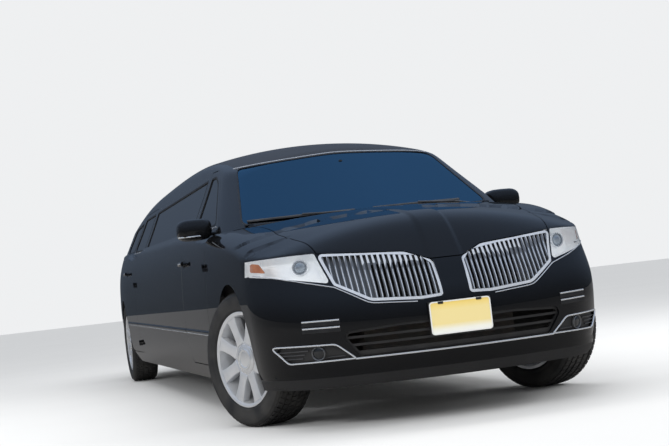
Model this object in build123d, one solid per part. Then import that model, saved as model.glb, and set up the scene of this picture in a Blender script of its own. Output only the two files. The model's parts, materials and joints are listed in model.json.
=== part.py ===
"""Stretch limousine: a full-size estate-bodied luxury car lengthened by 3048 mm between its axles.

Row frame, millimetres: +X points forward, +Y to the car's left, +Z up. The origin is on the ground,
under the middle of the car's overall length. Every solid is its real size.

The outer skin is two lofts: the hull, stacked from plan outlines at several heights, and the
greenhouse above it. Each is trimmed from above by a crown, a loft of cross-sections along the car,
which gives the bonnet, the shoulders and the roof. Panels, doors and glass are cut from those.
"""

import math
import os

from build123d import *

os.makedirs("parts", exist_ok=True)

# Driving dimensions
BASE_WHEELBASE = 2995.0
STRETCH = 3048.0
FRONT_OVERHANG = 1057.0
NOSE_F = 1045.0
REAR_OVERHANG = 1248.0
TRACK = 1656.0
TYRE_RADIUS = 365.0
TYRE_WIDTH = 235.0
RIM_RADIUS = 241.0
STEER_REST = 23.5

WHEELBASE = BASE_WHEELBASE + STRETCH
LENGTH = FRONT_OVERHANG + WHEELBASE + REAR_OVERHANG
XF = LENGTH / 2 - FRONT_OVERHANG
XR = XF - WHEELBASE
HALF_TRACK = TRACK / 2
AXLE_Z = TYRE_RADIUS


def F(x):
    """x measured from the front axle, in the row frame."""
    return XF + x


def R(x):
    """x measured from the rear axle, in the row frame."""
    return XR + x


def place(x, axle):
    """An x measured from the front (F) or rear (R) axle, in the row frame."""
    return x + (XF if axle == "F" else XR)


# Walls and gaps
DOOR_WALL = 120.0
FRAME_WALL = 48.0
ROOF_WALL = 50.0
SKIN = 22.0
SHUT_GAP = 5.0
GLASS_INSET = 6.0
CROWN_FOOT_Z = -400.0
GLASS = 5.0
SEAT_GAP = 0.3

# Heights
SILL_Z = 215.0
FLOOR_Z = 300.0
FLOOR_T = 40.0
DOOR_LOW_Z = 306.0
FLOOR_EDGE_GAP = 15.0
REAR_FLOOR_Z = 540.0
REAR_RISER_R = 430.0

# Side of the car, x from the front axle (F) or from the rear axle (R)
FIREWALL_F = -600.0
DOOR1_FRONT_F = -690.0
DOOR1_REAR_F = -1700.0
DOOR2_FRONT_R = 1290.0
DOOR2_REAR_R = 235.0
ARCH_RADIUS = 408.0
DOOR_SHEAR = 0.40
SHEAR_Y = 950.0

# Hinges and the front plate
HINGE_Y = 968.0
KNUCKLE_RADIUS = 4.5
KNUCKLE_LENGTH = 22.0
KNUCKLE_RUN = 0.3
LEAF_REACH = 24.0
LEAF_FOOT = 14.0
LEAF_ROOT_Y = 930.0
DOOR_HINGES_Z = (390.0, 890.0)
HOOD_HINGES_Y = 722.0
TAILGATE_HINGES_Y = 260.0
HOOD_HINGE_F = -378.0
HOOD_HINGE_Z = 1100.0
TAILGATE_HINGE_Z = 1532.0
PLATE_Z = 493.0
BRACKET_FACE_F = 1054.0
BRACKET_T = 5.0
BRACKET_SEAT = 0.8
PLATE_HOLES_Y = 178.0
PLATE_HOLES_Z = 120.0
PLATE_HOLE_RADIUS = 3.2

# Plan outlines of the hull, one at each height
# z, nose x (F), nose radius, front corner radius, half-width, tail x (R), tail radius, rear corner radius
HULL = [
    (200, 955, 1500, 470, 905, -1165, 2300, 300),
    (330, 1020, 1500, 490, 940, -1230, 2300, 320),
    (480, NOSE_F, 1500, 500, 957, -REAR_OVERHANG, 2300, 330),
    (640, 1022, 1550, 500, 965, -1240, 2300, 330),
    (800, 925, 1650, 500, 961, -1205, 2300, 320),
    (950, 850, 1900, 480, 950, -1170, 2300, 300),
    (1060, 800, 2000, 470, 930, -1140, 2300, 280),
    (1200, 760, 2000, 460, 885, -1100, 2300, 260),
]
TAPER_RADIUS = 26000.0
REAR_TAPER_RADIUS = 14000.0
TAPER_FRONT_F = -900.0
TAPER_REAR_R = 500.0

# Crown over the bonnet and the shoulders: x, axle, centre height, cross radius, shoulder radius
CROWN_HALF = 976.0
CROWN = [
    (1200, "F", 520, 2000, 174),
    (1000, "F", 705, 2100, 174),
    (860, "F", 872, 2300, 174),
    (720, "F", 992, 2300, 174),
    (560, "F", 1040, 2400, 174),
    (300, "F", 1070, 3400, 174),
    (-450, "F", 1132, 6500, 174),
    (-1400, "F", 1172, 9000, 174),
    (1500, "R", 1225, 9000, 174),
    (200, "R", 1246, 9000, 174),
    (-1400, "R", 1190, 6000, 174),
]

# Plan outlines of the greenhouse: z, windscreen x (F), bow radius, corner radius, half-width, tail x (R), bow, corner
GREENHOUSE = [
    (1040, -140, 1750, 260, 893, -1130, 2600, 240),
    (1180, -398, 1750, 240, 836, -1075, 2600, 230),
    (1340, -690, 1800, 220, 762, -960, 2600, 220),
    (1500, -975, 1850, 200, 692, -790, 2600, 200),
    (1740, -1400, 1900, 190, 590, -450, 2600, 190),
]
UPPER_TAPER_RADIUS = 60000.0

# Roof crown: x, axle, centre height, cross radius, cantrail radius
ROOF_HALF = 699.0
ROOF_HALF_Z = 1500.0
TUMBLEHOME = 0.45
ROOF = [
    (-60, "F", 1190, 2300, 120),
    (-950, "F", 1522, 2400, 120),
    (-1160, "F", 1580, 2500, 120),
    (-1600, "F", 1652, 2600, 120),
    (-2500, "F", 1712, 2600, 120),
    (1500, "R", 1716, 2600, 120),
    (700, "R", 1694, 2600, 120),
    (0, "R", 1634, 2600, 120),
    (-500, "R", 1563, 2600, 120),
    (-1200, "R", 1440, 2600, 120),
]


# Side outlines, as seen from the side: x, z, corner radius
FLANK_TOP_Z = 1000.0
SIDE_FLANK = [(300, 955), (1000, 955), (1060, 915), (1115, 866), (1300, 783), (1500, 695), (1600, 640)]

ARCH_DOOR_RADIUS = ARCH_RADIUS + 55.0
CANTRAIL_Z = 1528.0
CANTRAIL_TAIL_Z = 1395.0
FIXED_LOW_Z = FLOOR_Z

DOOR1 = [
    (F(DOOR1_FRONT_F), DOOR_LOW_Z, 40),
    (F(DOOR1_REAR_F), DOOR_LOW_Z, 40),
    (F(DOOR1_REAR_F), FLANK_TOP_Z, 0),
    (F(DOOR1_REAR_F), 1115, 0),
    (F(DOOR1_REAR_F), CANTRAIL_Z, 30),
    (F(-1420), 1518, 300),
    (F(-1225), 1448, 60),
    (F(-655), 1122, 25),
    (F(DOOR1_FRONT_F), 1090, 30),
    (F(DOOR1_FRONT_F), FLANK_TOP_Z, 0),
]
ARCH_X = ARCH_DOOR_RADIUS
ARCH_TOP_Z = AXLE_Z + math.sqrt(ARCH_DOOR_RADIUS**2 - DOOR2_REAR_R**2)
ARCH_BEND_Z = ARCH_TOP_Z - (ARCH_X - DOOR2_REAR_R) * DOOR2_REAR_R / (ARCH_TOP_Z - AXLE_Z)
DOOR2 = [
    (R(DOOR2_FRONT_R), DOOR_LOW_Z, 40),
    (R(DOOR2_FRONT_R), FLANK_TOP_Z, 0),
    (R(DOOR2_FRONT_R), 1115, 0),
    (R(DOOR2_FRONT_R), CANTRAIL_Z, 30),
    (R(400), CANTRAIL_Z, 90),
    (R(225), 1190, 120),
    (R(DOOR2_REAR_R), ARCH_TOP_Z, 40),
    (R(ARCH_X), ARCH_BEND_Z, ARCH_DOOR_RADIUS),
    (R(ARCH_X), DOOR_LOW_Z, 30),
]
DOOR1_GLASS = [
    (F(-760), 1138, 25),
    (F(-1262), 1425, 40),
    (F(-1430), 1478, 200),
    (F(DOOR1_REAR_F + 75), 1486, 25),
    (F(DOOR1_REAR_F + 75), 1146, 25),
]
STRETCH_GLASS = [
    (F(DOOR1_REAR_F - 80), 1150, 25),
    (F(DOOR1_REAR_F - 80), 1487, 25),
    (R(DOOR2_FRONT_R + 90), 1487, 25),
    (R(DOOR2_FRONT_R + 90), 1186, 25),
]
DOOR2_GLASS = [
    (R(DOOR2_FRONT_R - 75), 1188, 25),
    (R(DOOR2_FRONT_R - 75), 1487, 25),
    (R(455), 1487, 60),
    (R(318), 1205, 60),
]
QUARTER_GLASS = [
    (R(215), 1210, 60),
    (R(330), 1470, 50),
    (R(-330), 1440, 90),
    (R(-560), 1225, 60),
]
TAILGATE = [(-600, 560, 50), (600, 560, 50), (600, 1800, 0), (-600, 1800, 0)]
TAILGATE_X_R = -700.0
TAILGATE_GLASS = [(-520, 1170, 60), (520, 1170, 60), (500, 1452, 60), (-500, 1452, 60)]
HOOD_PLAN = [
    (F(1200), -560, 0),
    (F(1200), 560, 0),
    (F(790), 612, 60),
    (F(300), 690, 300),
    (F(-385), 742, 40),
    (F(-205), 0, 1400),
    (F(-385), -742, 40),
    (F(300), -690, 300),
    (F(790), -612, 60),
]
HOOD_FRONT = [
    (-1000, 1500, 0),
    (-1000, 900, 0),
    (-700, 880, 60),
    (-560, 868, 120),
    (-200, 838, 90),
    (-75, 783, 30),
    (75, 783, 30),
    (200, 838, 90),
    (560, 868, 120),
    (700, 880, 60),
    (1000, 900, 0),
    (1000, 1500, 0),
]
GRILLE = [
    (68, 600, 18), (72, 770, 30), (125, 822, 55), (300, 846, 200),
    (618, 868, 20), (572, 706, 25), (420, 612, 90), (180, 594, 100),
]
LAMP = [(628, 874, 12), (584, 716, 14), (760, 756, 120), (1000, 812, 10), (1000, 872, 10)]
INTAKE = [(-490, 354, 15), (490, 354, 15), (585, 476, 30), (300, 492, 200), (-300, 492, 200), (-585, 476, 30)]
FOG = [(518, 350, 12), (800, 350, 25), (866, 424, 15), (606, 416, 30)]
WINDSCREEN = [
    (-752, 1108, 30), (0, 1078, 900), (752, 1108, 30),
    (628, 1494, 60), (0, 1532, 1500), (-628, 1494, 60),
]

# Nose
APRON_Y = 470.0
APRON = 8.0
NOSE_LOW_Z = 208.0
LINER_RADIUS = 440.0
GRILLE_BARS = 20
GRILLE_BAR_WIDTH = 12.0
GRILLE_RIM = 14.0
BAR_RECESS = 7.0
BAR_DEPTH = 12.0
GRILLE_Y0 = 84.0
GRILLE_Y1 = 606.0
LAMP_DEPTH = 80.0
INTAKE_BARS = (372, 409, 446)
COWL_PLAN = [
    (F(-345), -742, 0),
    (F(-150), -600, 0),
    (F(-150), 600, 0),
    (F(-345), 742, 0),
    (F(-700), 742, 0),
    (F(-700), -742, 0),
]

# Wheels
RIM_BACK = -105.0
RIM_FACE = 105.0
LIP_RADIUS = 258.0
SPOKES = 8
HUB_FACE = 45.0
KINGPIN_Y = 740.0
DISC_RADIUS = 165.0
# Tyre half-section: radius, distance from the middle plane
TYRE_WALL = [
    (RIM_RADIUS + SEAT_GAP, RIM_FACE - 9 - SEAT_GAP),
    (LIP_RADIUS + SEAT_GAP, RIM_FACE - 3 - SEAT_GAP),
    (300.0, TYRE_WIDTH / 2),
    (343.0, 113.0),
]
TREAD_EDGE = (361.0, 96.0)

ARM_Z = 190.0

# Frame heights
RAIL_LOW_Z = 210.0
STRUT_TOP_Z = 803.2
RAIL_Y = 430.0
FLOOR_TAIL_R = -1060.0

# Tail lamp bar, mirrors, dashboard and pipes
BUMPER_TOP_R = 560.0

LAMP_BAR_Y = 570.0
LAMP_BAR_LOW = 880.0
LAMP_BAR_HIGH = 990.0

MIRROR_Y = 1083.0

DASH_Y = 700.0
DRIVER_Y = 390.0

PIPE_Z = 226.0
SHAFT_Z = 222.0
TIP_Y = (60, 200)

# Reach of the cutting blocks past the body
AHEAD_F = 1300.0
BEHIND_R = -1500.0
BESIDE_Y = 1200.0
ABOVE_HOOD_Z = 1400.0
ABOVE_ROOF_Z = 2000.0

# Nose: front bumper, lamps and intake
WING_REAR_F = DOOR1_FRONT_F - 60
NOSE_BACK_F = 600.0
LAMP_BACK_F = 430.0
GRILLE_INNER_Z = (500.0, 900.0)
INTAKE_BAR_HALF = 6.0
INTAKE_EDGE = 12.0
INTAKE_SET = (10.0, 34.0)
LEAF_WIDE_REACH = 34.0
HOOD_LEAF_FOOT_Z = 1074.0

# Roof and tail
HEADER_FOOT_Z = 1040.0
ROOF_LEAF_FOOT_Z = 1500.0
GATE_LEAF_FOOT_Z = 1490.0
WINDSCREEN_BACK_F = -1300.0
QUARTER_FRONT_R = 460.0
REAR_BUMPER_FRONT_R = -440.0
REAR_BUMPER_LOW_Z = 225.0
LAMP_BAR_SET = (2.0, 34.0, 36.0)
TIP_CUT_RADIUS = 38.0

# Frame, front suspension and rear axle
RAIL_HALF = 40.0
RAIL_ENDS = (R(-950), F(700))
CROSS_X = (F(560), F(-420), F(-1400), F(-2400), F(-3400), R(1650), R(620), R(-760))
CROSS_HALF = 35.0
CROSS_T = 38.0
EYE_RADIUS = 28.0
STRUT_RADIUS = 26.0
STRUT_Y = 625.0
STRUT_LOW_Z = 470.0
AXLE_TUBE_RADIUS = 42.0
AXLE_CASE_RADIUS = 150.0
AXLE_PAD = (60.0, 36.0, 30.0)

# Inside: dashboard, chairs and lounge
DASH_F = (-860.0, -645.0)
DASH_HEIGHTS = (700.0, 1060.0)
DASH_ROUND = 50.0
CONSOLE_F = (-1500.0, -760.0)
CONSOLE_Y = 110.0
CONSOLE_TOP_Z = 720.0
COLUMN = ((-800.0, 900.0), (-1060.0, 985.0))
COLUMN_RADIUS = 26.0
WHEEL_CENTRE = (-1075.0, 990.0)
WHEEL_TILT = (-0.95, 0, 0.31)
WHEEL_RING = (185.0, 15.0)
WHEEL_HUB = (58.0, 36.0)
CHAIR = {"width": 500.0, "depth": 480.0, "back": 520.0}
CHAIR_F = -1560.0
CHAIR_RISE = 60.0
PLINTH_F = (-1530.0, -1120.0)
PLINTH_Y = 200.0
PARTITION_F = (-1960.0, -1920.0)
PARTITION_HALF = [
    (812, 0), (826, 160), (826, 590), (800, 720),
    (770, 840), (700, 1000), (622, 1150), (430, 1232),
]
HATCH_Y = 480.0
HATCH_HEIGHTS = (1150.0, 1480.0)
LOUNGE_ENDS = (R(1500), F(-2100))
REAR_BENCH = {"width": 1240.0, "depth": 500.0, "back": 480.0}
REAR_BENCH_R = -90.0
CABINET_Y = (560.0, 800.0)
CABINET_TOP_Z = 900.0

# Engine, shaft, tank and exhaust
ENGINE_F = (-420.0, 380.0)
ENGINE_Y = 300.0
ENGINE_TOP_Z = 880.0
GEARBOX_F = (-980.0, -300.0)
GEARBOX_Y = 150.0
GEARBOX_LOW_Z = 190.0
NECK_BACK_F = -380.0
RADIATOR_F = (640.0, 700.0)
RADIATOR_Y = 400.0
RADIATOR_TOP_Z = 720.0
SHAFT_RADIUS = 28.0
SHAFT_JOINT_RADIUS = 36.0
SHAFT_JOINT_R = 600.0
SHAFT_END = (152.0, 330.0)
TANK_R = (700.0, 1580.0)
TANK_RIGHT_Y = -70.0
TANK_LOW_Z = 205.0
PIPE_Y = 240.0
PIPE_RADIUS = 28.0
PIPE_ENDS = (F(-350), R(-700))
MUFFLER_R = (-1000.0, -690.0)
MUFFLER_Y = (-100.0, 330.0)
MUFFLER_LOW_Z = 190.0
TIP_R = (-980.0, -1225.0)
TIP_RADIUS = 30.0


def corner_centre(end_x, bow, corner, half_width, taper_x, taper):
    """Centre of the corner arc that is tangent inside the end arc and inside the side's taper arc."""
    ax, ay, ar = end_x - bow, 0.0, bow - corner
    bx, by, br = taper_x, half_width - taper, taper - corner
    d = math.hypot(bx - ax, by - ay)
    along = (ar**2 - br**2 + d**2) / (2 * d)
    across = math.sqrt(ar**2 - along**2)
    ux, uy = (bx - ax) / d, (by - ay) / d
    one = (ax + along * ux - across * uy, ay + along * uy + across * ux)
    two = (ax + along * ux + across * uy, ay + along * uy - across * ux)
    return max(one, two)


def quarter(end_x, bow, corner, half_width, taper_x, taper):
    """Points of one quarter of a plan outline, end to side, for an end that faces +X."""
    cx, cy = corner_centre(end_x, bow, corner, half_width, taper_x, taper)
    a_end = math.atan2(cy, cx - (end_x - bow))
    a_side = math.atan2(cy - (half_width - taper), cx - taper_x)
    a_mid = (a_end + a_side) / 2
    return {
        "end": (end_x, 0.0),
        "end_join": (cx + corner * math.cos(a_end), cy + corner * math.sin(a_end)),
        "corner_mid": (cx + corner * math.cos(a_mid), cy + corner * math.sin(a_mid)),
        "side_join": (cx + corner * math.cos(a_side), cy + corner * math.sin(a_side)),
        "taper_mid": (
            taper_x + taper * math.cos((a_side + math.pi / 2) / 2),
            half_width - taper + taper * math.sin((a_side + math.pi / 2) / 2),
        ),
        "side": (taper_x, half_width),
    }


def plan_outline(z, front, rear):
    """Closed plan outline at height z from a front and a rear quarter; rear quarters are mirrored in x."""
    def flip(p):
        return (p[0], -p[1])

    def back(p):
        return (-p[0], p[1])

    f, r = front, {k: back(v) for k, v in rear.items()}
    at = lambda p: Vector(p[0], p[1], z)
    arcs = [
        (flip(f["end_join"]), f["end"], f["end_join"]),
        (f["end_join"], f["corner_mid"], f["side_join"]),
        (f["side_join"], f["taper_mid"], f["side"]),
        (f["side"], None, r["side"]),
        (r["side"], r["taper_mid"], r["side_join"]),
        (r["side_join"], r["corner_mid"], r["end_join"]),
        (r["end_join"], r["end"], flip(r["end_join"])),
        (flip(r["end_join"]), flip(r["corner_mid"]), flip(r["side_join"])),
        (flip(r["side_join"]), flip(r["taper_mid"]), flip(r["side"])),
        (flip(r["side"]), None, flip(f["side"])),
        (flip(f["side"]), flip(f["taper_mid"]), flip(f["side_join"])),
        (flip(f["side_join"]), flip(f["corner_mid"]), flip(f["end_join"])),
    ]
    edges = [
        Edge.make_line(at(a), at(b)) if m is None else Edge.make_three_point_arc(at(a), at(m), at(b))
        for a, m, b in arcs
    ]
    return Wire(edges)


def stack(table, inset, taper, rear_taper, taper_front, taper_rear):
    """Loft of plan outlines, each drawn in by inset on every side."""
    wires = []
    for z, nose, bow, corner, half, tail, tail_bow, tail_corner in table:
        front = quarter(nose - inset + XF, bow - inset, corner - inset, half - inset, taper_front, taper)
        bow_r, corner_r = tail_bow - inset, tail_corner - inset
        rear = quarter(-(tail + inset + XR), bow_r, corner_r, half - inset, -taper_rear, rear_taper)
        wires.append(plan_outline(z, front, rear))
    return Solid.make_loft(wires)


def hull(inset=0.0):
    """The lower body, from the sills up past the shoulders."""
    return stack(HULL, inset, TAPER_RADIUS, REAR_TAPER_RADIUS, XF + TAPER_FRONT_F, XR + TAPER_REAR_R)


def greenhouse(inset=0.0):
    """The glazed upper body, from below the belt up past the roof."""
    return stack(GREENHOUSE, inset, UPPER_TAPER_RADIUS, UPPER_TAPER_RADIUS, XF - 1700.0, XR + 700.0)


def crown(table, half, half_z, lean, inset=0.0):
    """Loft along the car of cross-sections: a crowned top, round shoulders and sides that lean in by lean.

    Each side passes through half at the height half_z. Everything is drawn in by inset.
    """
    size = math.hypot(1.0, lean)
    along, inwards = (-lean / size, 1.0 / size), (-1.0 / size, -lean / size)
    wires = []
    for x, axle, top, radius, shoulder in table:
        xx = place(x, axle)
        rt, rs = radius - inset, shoulder - inset / 2
        bottom = (0.0, top - radius)
        start = (half + inwards[0] * (inset + rs), half_z + inwards[1] * (inset + rs))
        dy, dz = start[0] - bottom[0], start[1] - bottom[1]
        b = dy * along[0] + dz * along[1]
        t = -b + math.sqrt(b**2 - (dy**2 + dz**2 - (rt - rs) ** 2))
        cy, cz = start[0] + along[0] * t, start[1] + along[1] * t
        a_top = math.atan2(cz - bottom[1], cy - bottom[0])
        a_side = math.atan2(-inwards[1], -inwards[0])
        at = lambda y, z: Vector(xx, y, z)
        ring = lambda a: (cy + rs * math.cos(a), cz + rs * math.sin(a))
        side, middle, join = ring(a_side), ring((a_side + a_top) / 2), ring(a_top)
        foot = (side[0] - along[0] * (side[1] - CROWN_FOOT_Z) / along[1], CROWN_FOOT_Z)
        flip = lambda q: (-q[0], q[1])
        wires.append(
            Wire(
                [
                    Edge.make_line(at(*flip(foot)), at(*foot)),
                    Edge.make_line(at(*foot), at(*side)),
                    Edge.make_three_point_arc(at(*side), at(*middle), at(*join)),
                    Edge.make_three_point_arc(at(*join), at(0, top - inset), at(*flip(join))),
                    Edge.make_three_point_arc(at(*flip(join)), at(*flip(middle)), at(*flip(side))),
                    Edge.make_line(at(*flip(side)), at(*flip(foot))),
                ]
            )
        )
    return Solid.make_loft(wires)


def shoulders(inset=0.0):
    """Crown of the bonnet and the body's shoulders."""
    return crown(CROWN, CROWN_HALF, 500.0, 0.0, inset)


def roof_crown(inset=0.0):
    """Crown of the roof, whose cantrails run down into the leaning sides."""
    return crown(ROOF, ROOF_HALF, ROOF_HALF_Z, TUMBLEHOME, inset)


def box(x0, x1, y0, y1, z0, z1):
    """Axis-aligned block between two corners."""
    size = Solid.make_box(abs(x1 - x0), abs(y1 - y0), abs(z1 - z0))
    return size.moved(Location((min(x0, x1), min(y0, y1), min(z0, z1))))


def rod(a, b, radius):
    """Round bar from point a to point b."""
    a, b = Vector(*a), Vector(*b)
    return Solid.make_cylinder(radius, (b - a).length, Plane(origin=a, z_dir=b - a))


def rounded(points, grow, at):
    """Closed wire through points (u, v, corner radius), moved outwards by grow; at maps (u, v) to 3-D."""
    flat = [Vector(u, v, 0) for u, v, _ in points]
    n = len(flat)
    area = sum(flat[i].X * flat[(i + 1) % n].Y - flat[(i + 1) % n].X * flat[i].Y for i in range(n))
    turn = 1.0 if area > 0 else -1.0
    corners = []
    for i in range(n):
        p, q, s = flat[i - 1], flat[i], flat[(i + 1) % n]
        u, v = (q - p).normalized(), (s - q).normalized()
        nu, nv = Vector(u.Y, -u.X, 0) * turn, Vector(v.Y, -v.X, 0) * turn
        corners.append(q + (nu + nv) * (grow / (1 + nu.dot(nv))))
    edges, ends = [], []
    for i in range(n):
        p, q, s = corners[i - 1], corners[i], corners[(i + 1) % n]
        u, v = (p - q).normalized(), (s - q).normalized()
        convex = (q - p).cross(s - q).Z * turn > 0
        r = points[i][2] + (grow if convex else -grow) if points[i][2] else 0.0
        if r <= 0:
            ends.append((q, None, q))
            continue
        half = math.acos(max(-1.0, min(1.0, u.dot(v)))) / 2
        reach = r / math.tan(half)
        centre = q + (u + v).normalized() * (r / math.sin(half))
        ends.append((q + u * reach, centre - (u + v).normalized() * r, q + v * reach))
    for i in range(n):
        a, m, b = ends[i]
        if m is not None:
            edges.append(Edge.make_three_point_arc(at(a.X, a.Y), at(m.X, m.Y), at(b.X, b.Y)))
        c = ends[(i + 1) % n][0]
        if (c - b).length > 1e-6:
            edges.append(Edge.make_line(at(b.X, b.Y), at(c.X, c.Y)))
    return Wire(edges)


def side_prism(points, side, grow=0.0, shear=0.0, y_out=1200.0, y_in=350.0):
    """Prism across the car from an outline (x, z, radius), sheared forwards with depth by shear."""
    depth = y_out - y_in
    lead = shear * (SHEAR_Y - y_out)
    wire = rounded(points, grow, lambda u, v: Vector(u + lead, side * y_out, v))
    return Solid.extrude(Face(wire), Vector(shear * depth, -side * depth, 0))


def front_prism(points, x0, x1, grow=0.0, side=1):
    """Prism along the car from an outline (y, z, radius)."""
    wire = rounded(points, grow, lambda u, v: Vector(x0, side * u, v))
    return Solid.extrude(Face(wire), Vector(x1 - x0, 0, 0))


def plan_prism(points, z0, z1, grow=0.0):
    """Upright prism from an outline (x, y, radius)."""
    wire = rounded(points, grow, lambda u, v: Vector(u, v, z0))
    return Solid.extrude(Face(wire), Vector(0, 0, z1 - z0))


def union(shapes):
    """All shapes fused into one."""
    shapes = list(shapes)
    return shapes[0].fuse(*shapes[1:]) if len(shapes) > 1 else shapes[0]


def mirrored(shape):
    """The same piece on the other side of the car."""
    return shape.mirror(Plane.XZ)


def both(shape):
    """A left piece and its right twin as one compound."""
    return Compound(children=list(shape.solids()) + list(mirrored(shape).solids()))


def flank(z):
    """Half-width of the outer skin at height z, which turns a sheared outline into the seen one."""
    table = SIDE_FLANK
    if z <= table[0][0]:
        return table[0][1]
    for (z0, y0), (z1, y1) in zip(table, table[1:]):
        if z <= z1:
            return y0 + (y1 - y0) * (z - z0) / (z1 - z0)
    return table[-1][1]


def seen(points):
    """Outline in the reference plane of a sheared prism whose cut shows on the skin at the given points."""
    return [(x - DOOR_SHEAR * (SHEAR_Y - flank(z)), z, r) for x, z, r in points]


class Skin:
    """The outer body and the hollow inside it."""

    def __init__(self):
        self.low = hull() & shoulders()
        self.high = greenhouse() & roof_crown()
        self.low_in = hull(DOOR_WALL) & shoulders(FRAME_WALL)
        self.high_in = greenhouse(FRAME_WALL) & roof_crown(ROOF_WALL)
        self.outer = self.low.fuse(self.high)
        self.inner = self.low_in.fuse(self.high_in)
        self.glass_out = greenhouse(GLASS_INSET) & roof_crown(GLASS_INSET)
        self.glass_in = greenhouse(GLASS_INSET + GLASS) & roof_crown(GLASS_INSET + GLASS)

    def panel(self, region):
        """The part of the thick body wall that lies in a region."""
        return (self.outer & region) - self.inner


def export(shape, name):
    """Write one piece under its own name."""
    solids = shape.solids()
    shape = solids[0] if len(solids) == 1 else Compound(children=list(solids))
    shape.label = name
    export_step(shape, f"parts/{name}.step")


def arch(x, radius, y0, y1, side):
    """Wheel-arch cylinder about an axle."""
    return rod((x, side * y0, AXLE_Z), (x, side * y1, AXLE_Z), radius)


def doors(skin):
    """The four doors with their panes."""
    for name, outline, pane in (("front", DOOR1, DOOR1_GLASS), ("rear", DOOR2, DOOR2_GLASS)):
        shell = (skin.outer & side_prism(seen(outline), 1, 0, DOOR_SHEAR)).cut(skin.inner, side_prism(pane, 1))
        shell = max(shell.solids(), key=lambda q: q.volume)
        shell = shell.fuse(*upright_hinges(outline[0][0], -1, True))
        glass = glass_pane(skin, side_prism(pane, 1, -SEAT_GAP))
        for side, tag in ((1, "left"), (-1, "right")):
            export(shell if side > 0 else mirrored(shell), f"door_{name}_{tag}")
            export(glass if side > 0 else mirrored(glass), f"door_glass_{name}_{tag}")


def upright_leaf(x, z0, z1, way):
    """Left-hand hinge knuckle on a door's axis with its leaf, which runs forwards or backwards by way."""
    plate = box(x, x + way * LEAF_REACH, HINGE_Y - KNUCKLE_RADIUS, HINGE_Y + KNUCKLE_RADIUS, z0, z1)
    foot = box(x + way * (LEAF_REACH - LEAF_FOOT), x + way * LEAF_REACH, LEAF_ROOT_Y, HINGE_Y, z0, z1)
    return rod((x, HINGE_Y, z0), (x, HINGE_Y, z1), KNUCKLE_RADIUS).fuse(plate, foot)


def upright_hinges(x, way, above):
    """The upper or lower knuckles of both hinges of a door."""
    ends = (KNUCKLE_RUN, KNUCKLE_LENGTH) if above else (-KNUCKLE_LENGTH, -KNUCKLE_RUN)
    return [upright_leaf(x, z + ends[0], z + ends[1], way) for z in DOOR_HINGES_Z]


def cross_leaf(x, y0, y1, z, way, reach, root_z):
    """Hinge knuckle on an axis across the car with its leaf and a foot down to root_z."""
    plate = box(x, x + way * reach, y0, y1, z - KNUCKLE_RADIUS, z + KNUCKLE_RADIUS)
    foot = box(x + way * (reach - LEAF_FOOT), x + way * reach, y0, y1, root_z, z)
    return rod((x, y0, z), (x, y1, z), KNUCKLE_RADIUS).fuse(plate, foot)


def glass_pane(skin, region):
    """Pane that follows the greenhouse, set in by a little, inside a region."""
    return (skin.glass_out & region) - skin.glass_in


def side_panels(skin):
    """Stretch sides and rear quarters, between the sill and the cantrail."""
    cut1 = side_prism(seen(DOOR1), 1, SHUT_GAP, DOOR_SHEAR)
    cut2 = side_prism(seen(DOOR2), 1, SHUT_GAP, DOOR_SHEAR)
    middle = [
        (F(-1400), FIXED_LOW_Z, 0),
        (F(-1400), CANTRAIL_Z, 0),
        (R(1000), CANTRAIL_Z, 0),
        (R(1000), FIXED_LOW_Z, 0),
    ]
    stretch = (skin.outer & side_prism(middle, 1)).cut(skin.inner, cut1, cut2, side_prism(STRETCH_GLASS, 1))
    stretch = keep_near(stretch, (F(DOOR1_REAR_F) + R(DOOR2_FRONT_R)) / 2)
    stretch = stretch.fuse(*upright_hinges(R(DOOR2_FRONT_R), 1, False))
    rear = [
        (R(QUARTER_FRONT_R), FIXED_LOW_Z, 0),
        (R(QUARTER_FRONT_R), CANTRAIL_Z, 0),
        (R(BEHIND_R), CANTRAIL_TAIL_Z, 0),
        (R(BEHIND_R), BUMPER_TOP_R, 0),
        (R(REAR_BUMPER_FRONT_R), BUMPER_TOP_R, 0),
        (R(REAR_BUMPER_FRONT_R), FIXED_LOW_Z, 0),
    ]
    quarter_panel = (skin.outer & side_prism(rear, 1, 0, 0, BESIDE_Y, 300)).cut(
        skin.inner,
        cut2,
        arch(R(0), ARCH_RADIUS, 500, 1100, 1),
        side_prism(QUARTER_GLASS, 1),
        front_prism(TAILGATE, R(BEHIND_R), R(TAILGATE_X_R), SHUT_GAP),
    )
    quarter_panel = max(quarter_panel.solids(), key=lambda q: q.volume)
    liner = rod((R(0), 690, AXLE_Z), (R(0), 850, AXLE_Z), ARCH_RADIUS + 14)
    liner = liner - rod((R(0), 700, AXLE_Z), (R(0), 850, AXLE_Z), ARCH_RADIUS)
    liner = liner & box(R(-600), R(600), 600, 900, FIXED_LOW_Z, 1000)
    liner = liner - rod((R(0), 600, AXLE_Z), (R(0), 800, AXLE_Z), 62)
    quarter_panel = quarter_panel.fuse(liner)
    for side, tag in ((1, "left"), (-1, "right")):
        export(stretch if side > 0 else mirrored(stretch), f"stretch_side_{tag}")
        export(quarter_panel if side > 0 else mirrored(quarter_panel), f"quarter_panel_{tag}")
    panes = [glass_pane(skin, side_prism(p, 1, -SEAT_GAP)) for p in (STRETCH_GLASS, QUARTER_GLASS)]
    panes = Compound(children=[s for p in panes for s in p.solids()])
    export(both(panes), "side_glass")


def keep_near(shape, x):
    """The solid of a shape that lies nearest to a station."""
    return min(shape.solids(), key=lambda s: abs(s.center().X - x))


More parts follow.
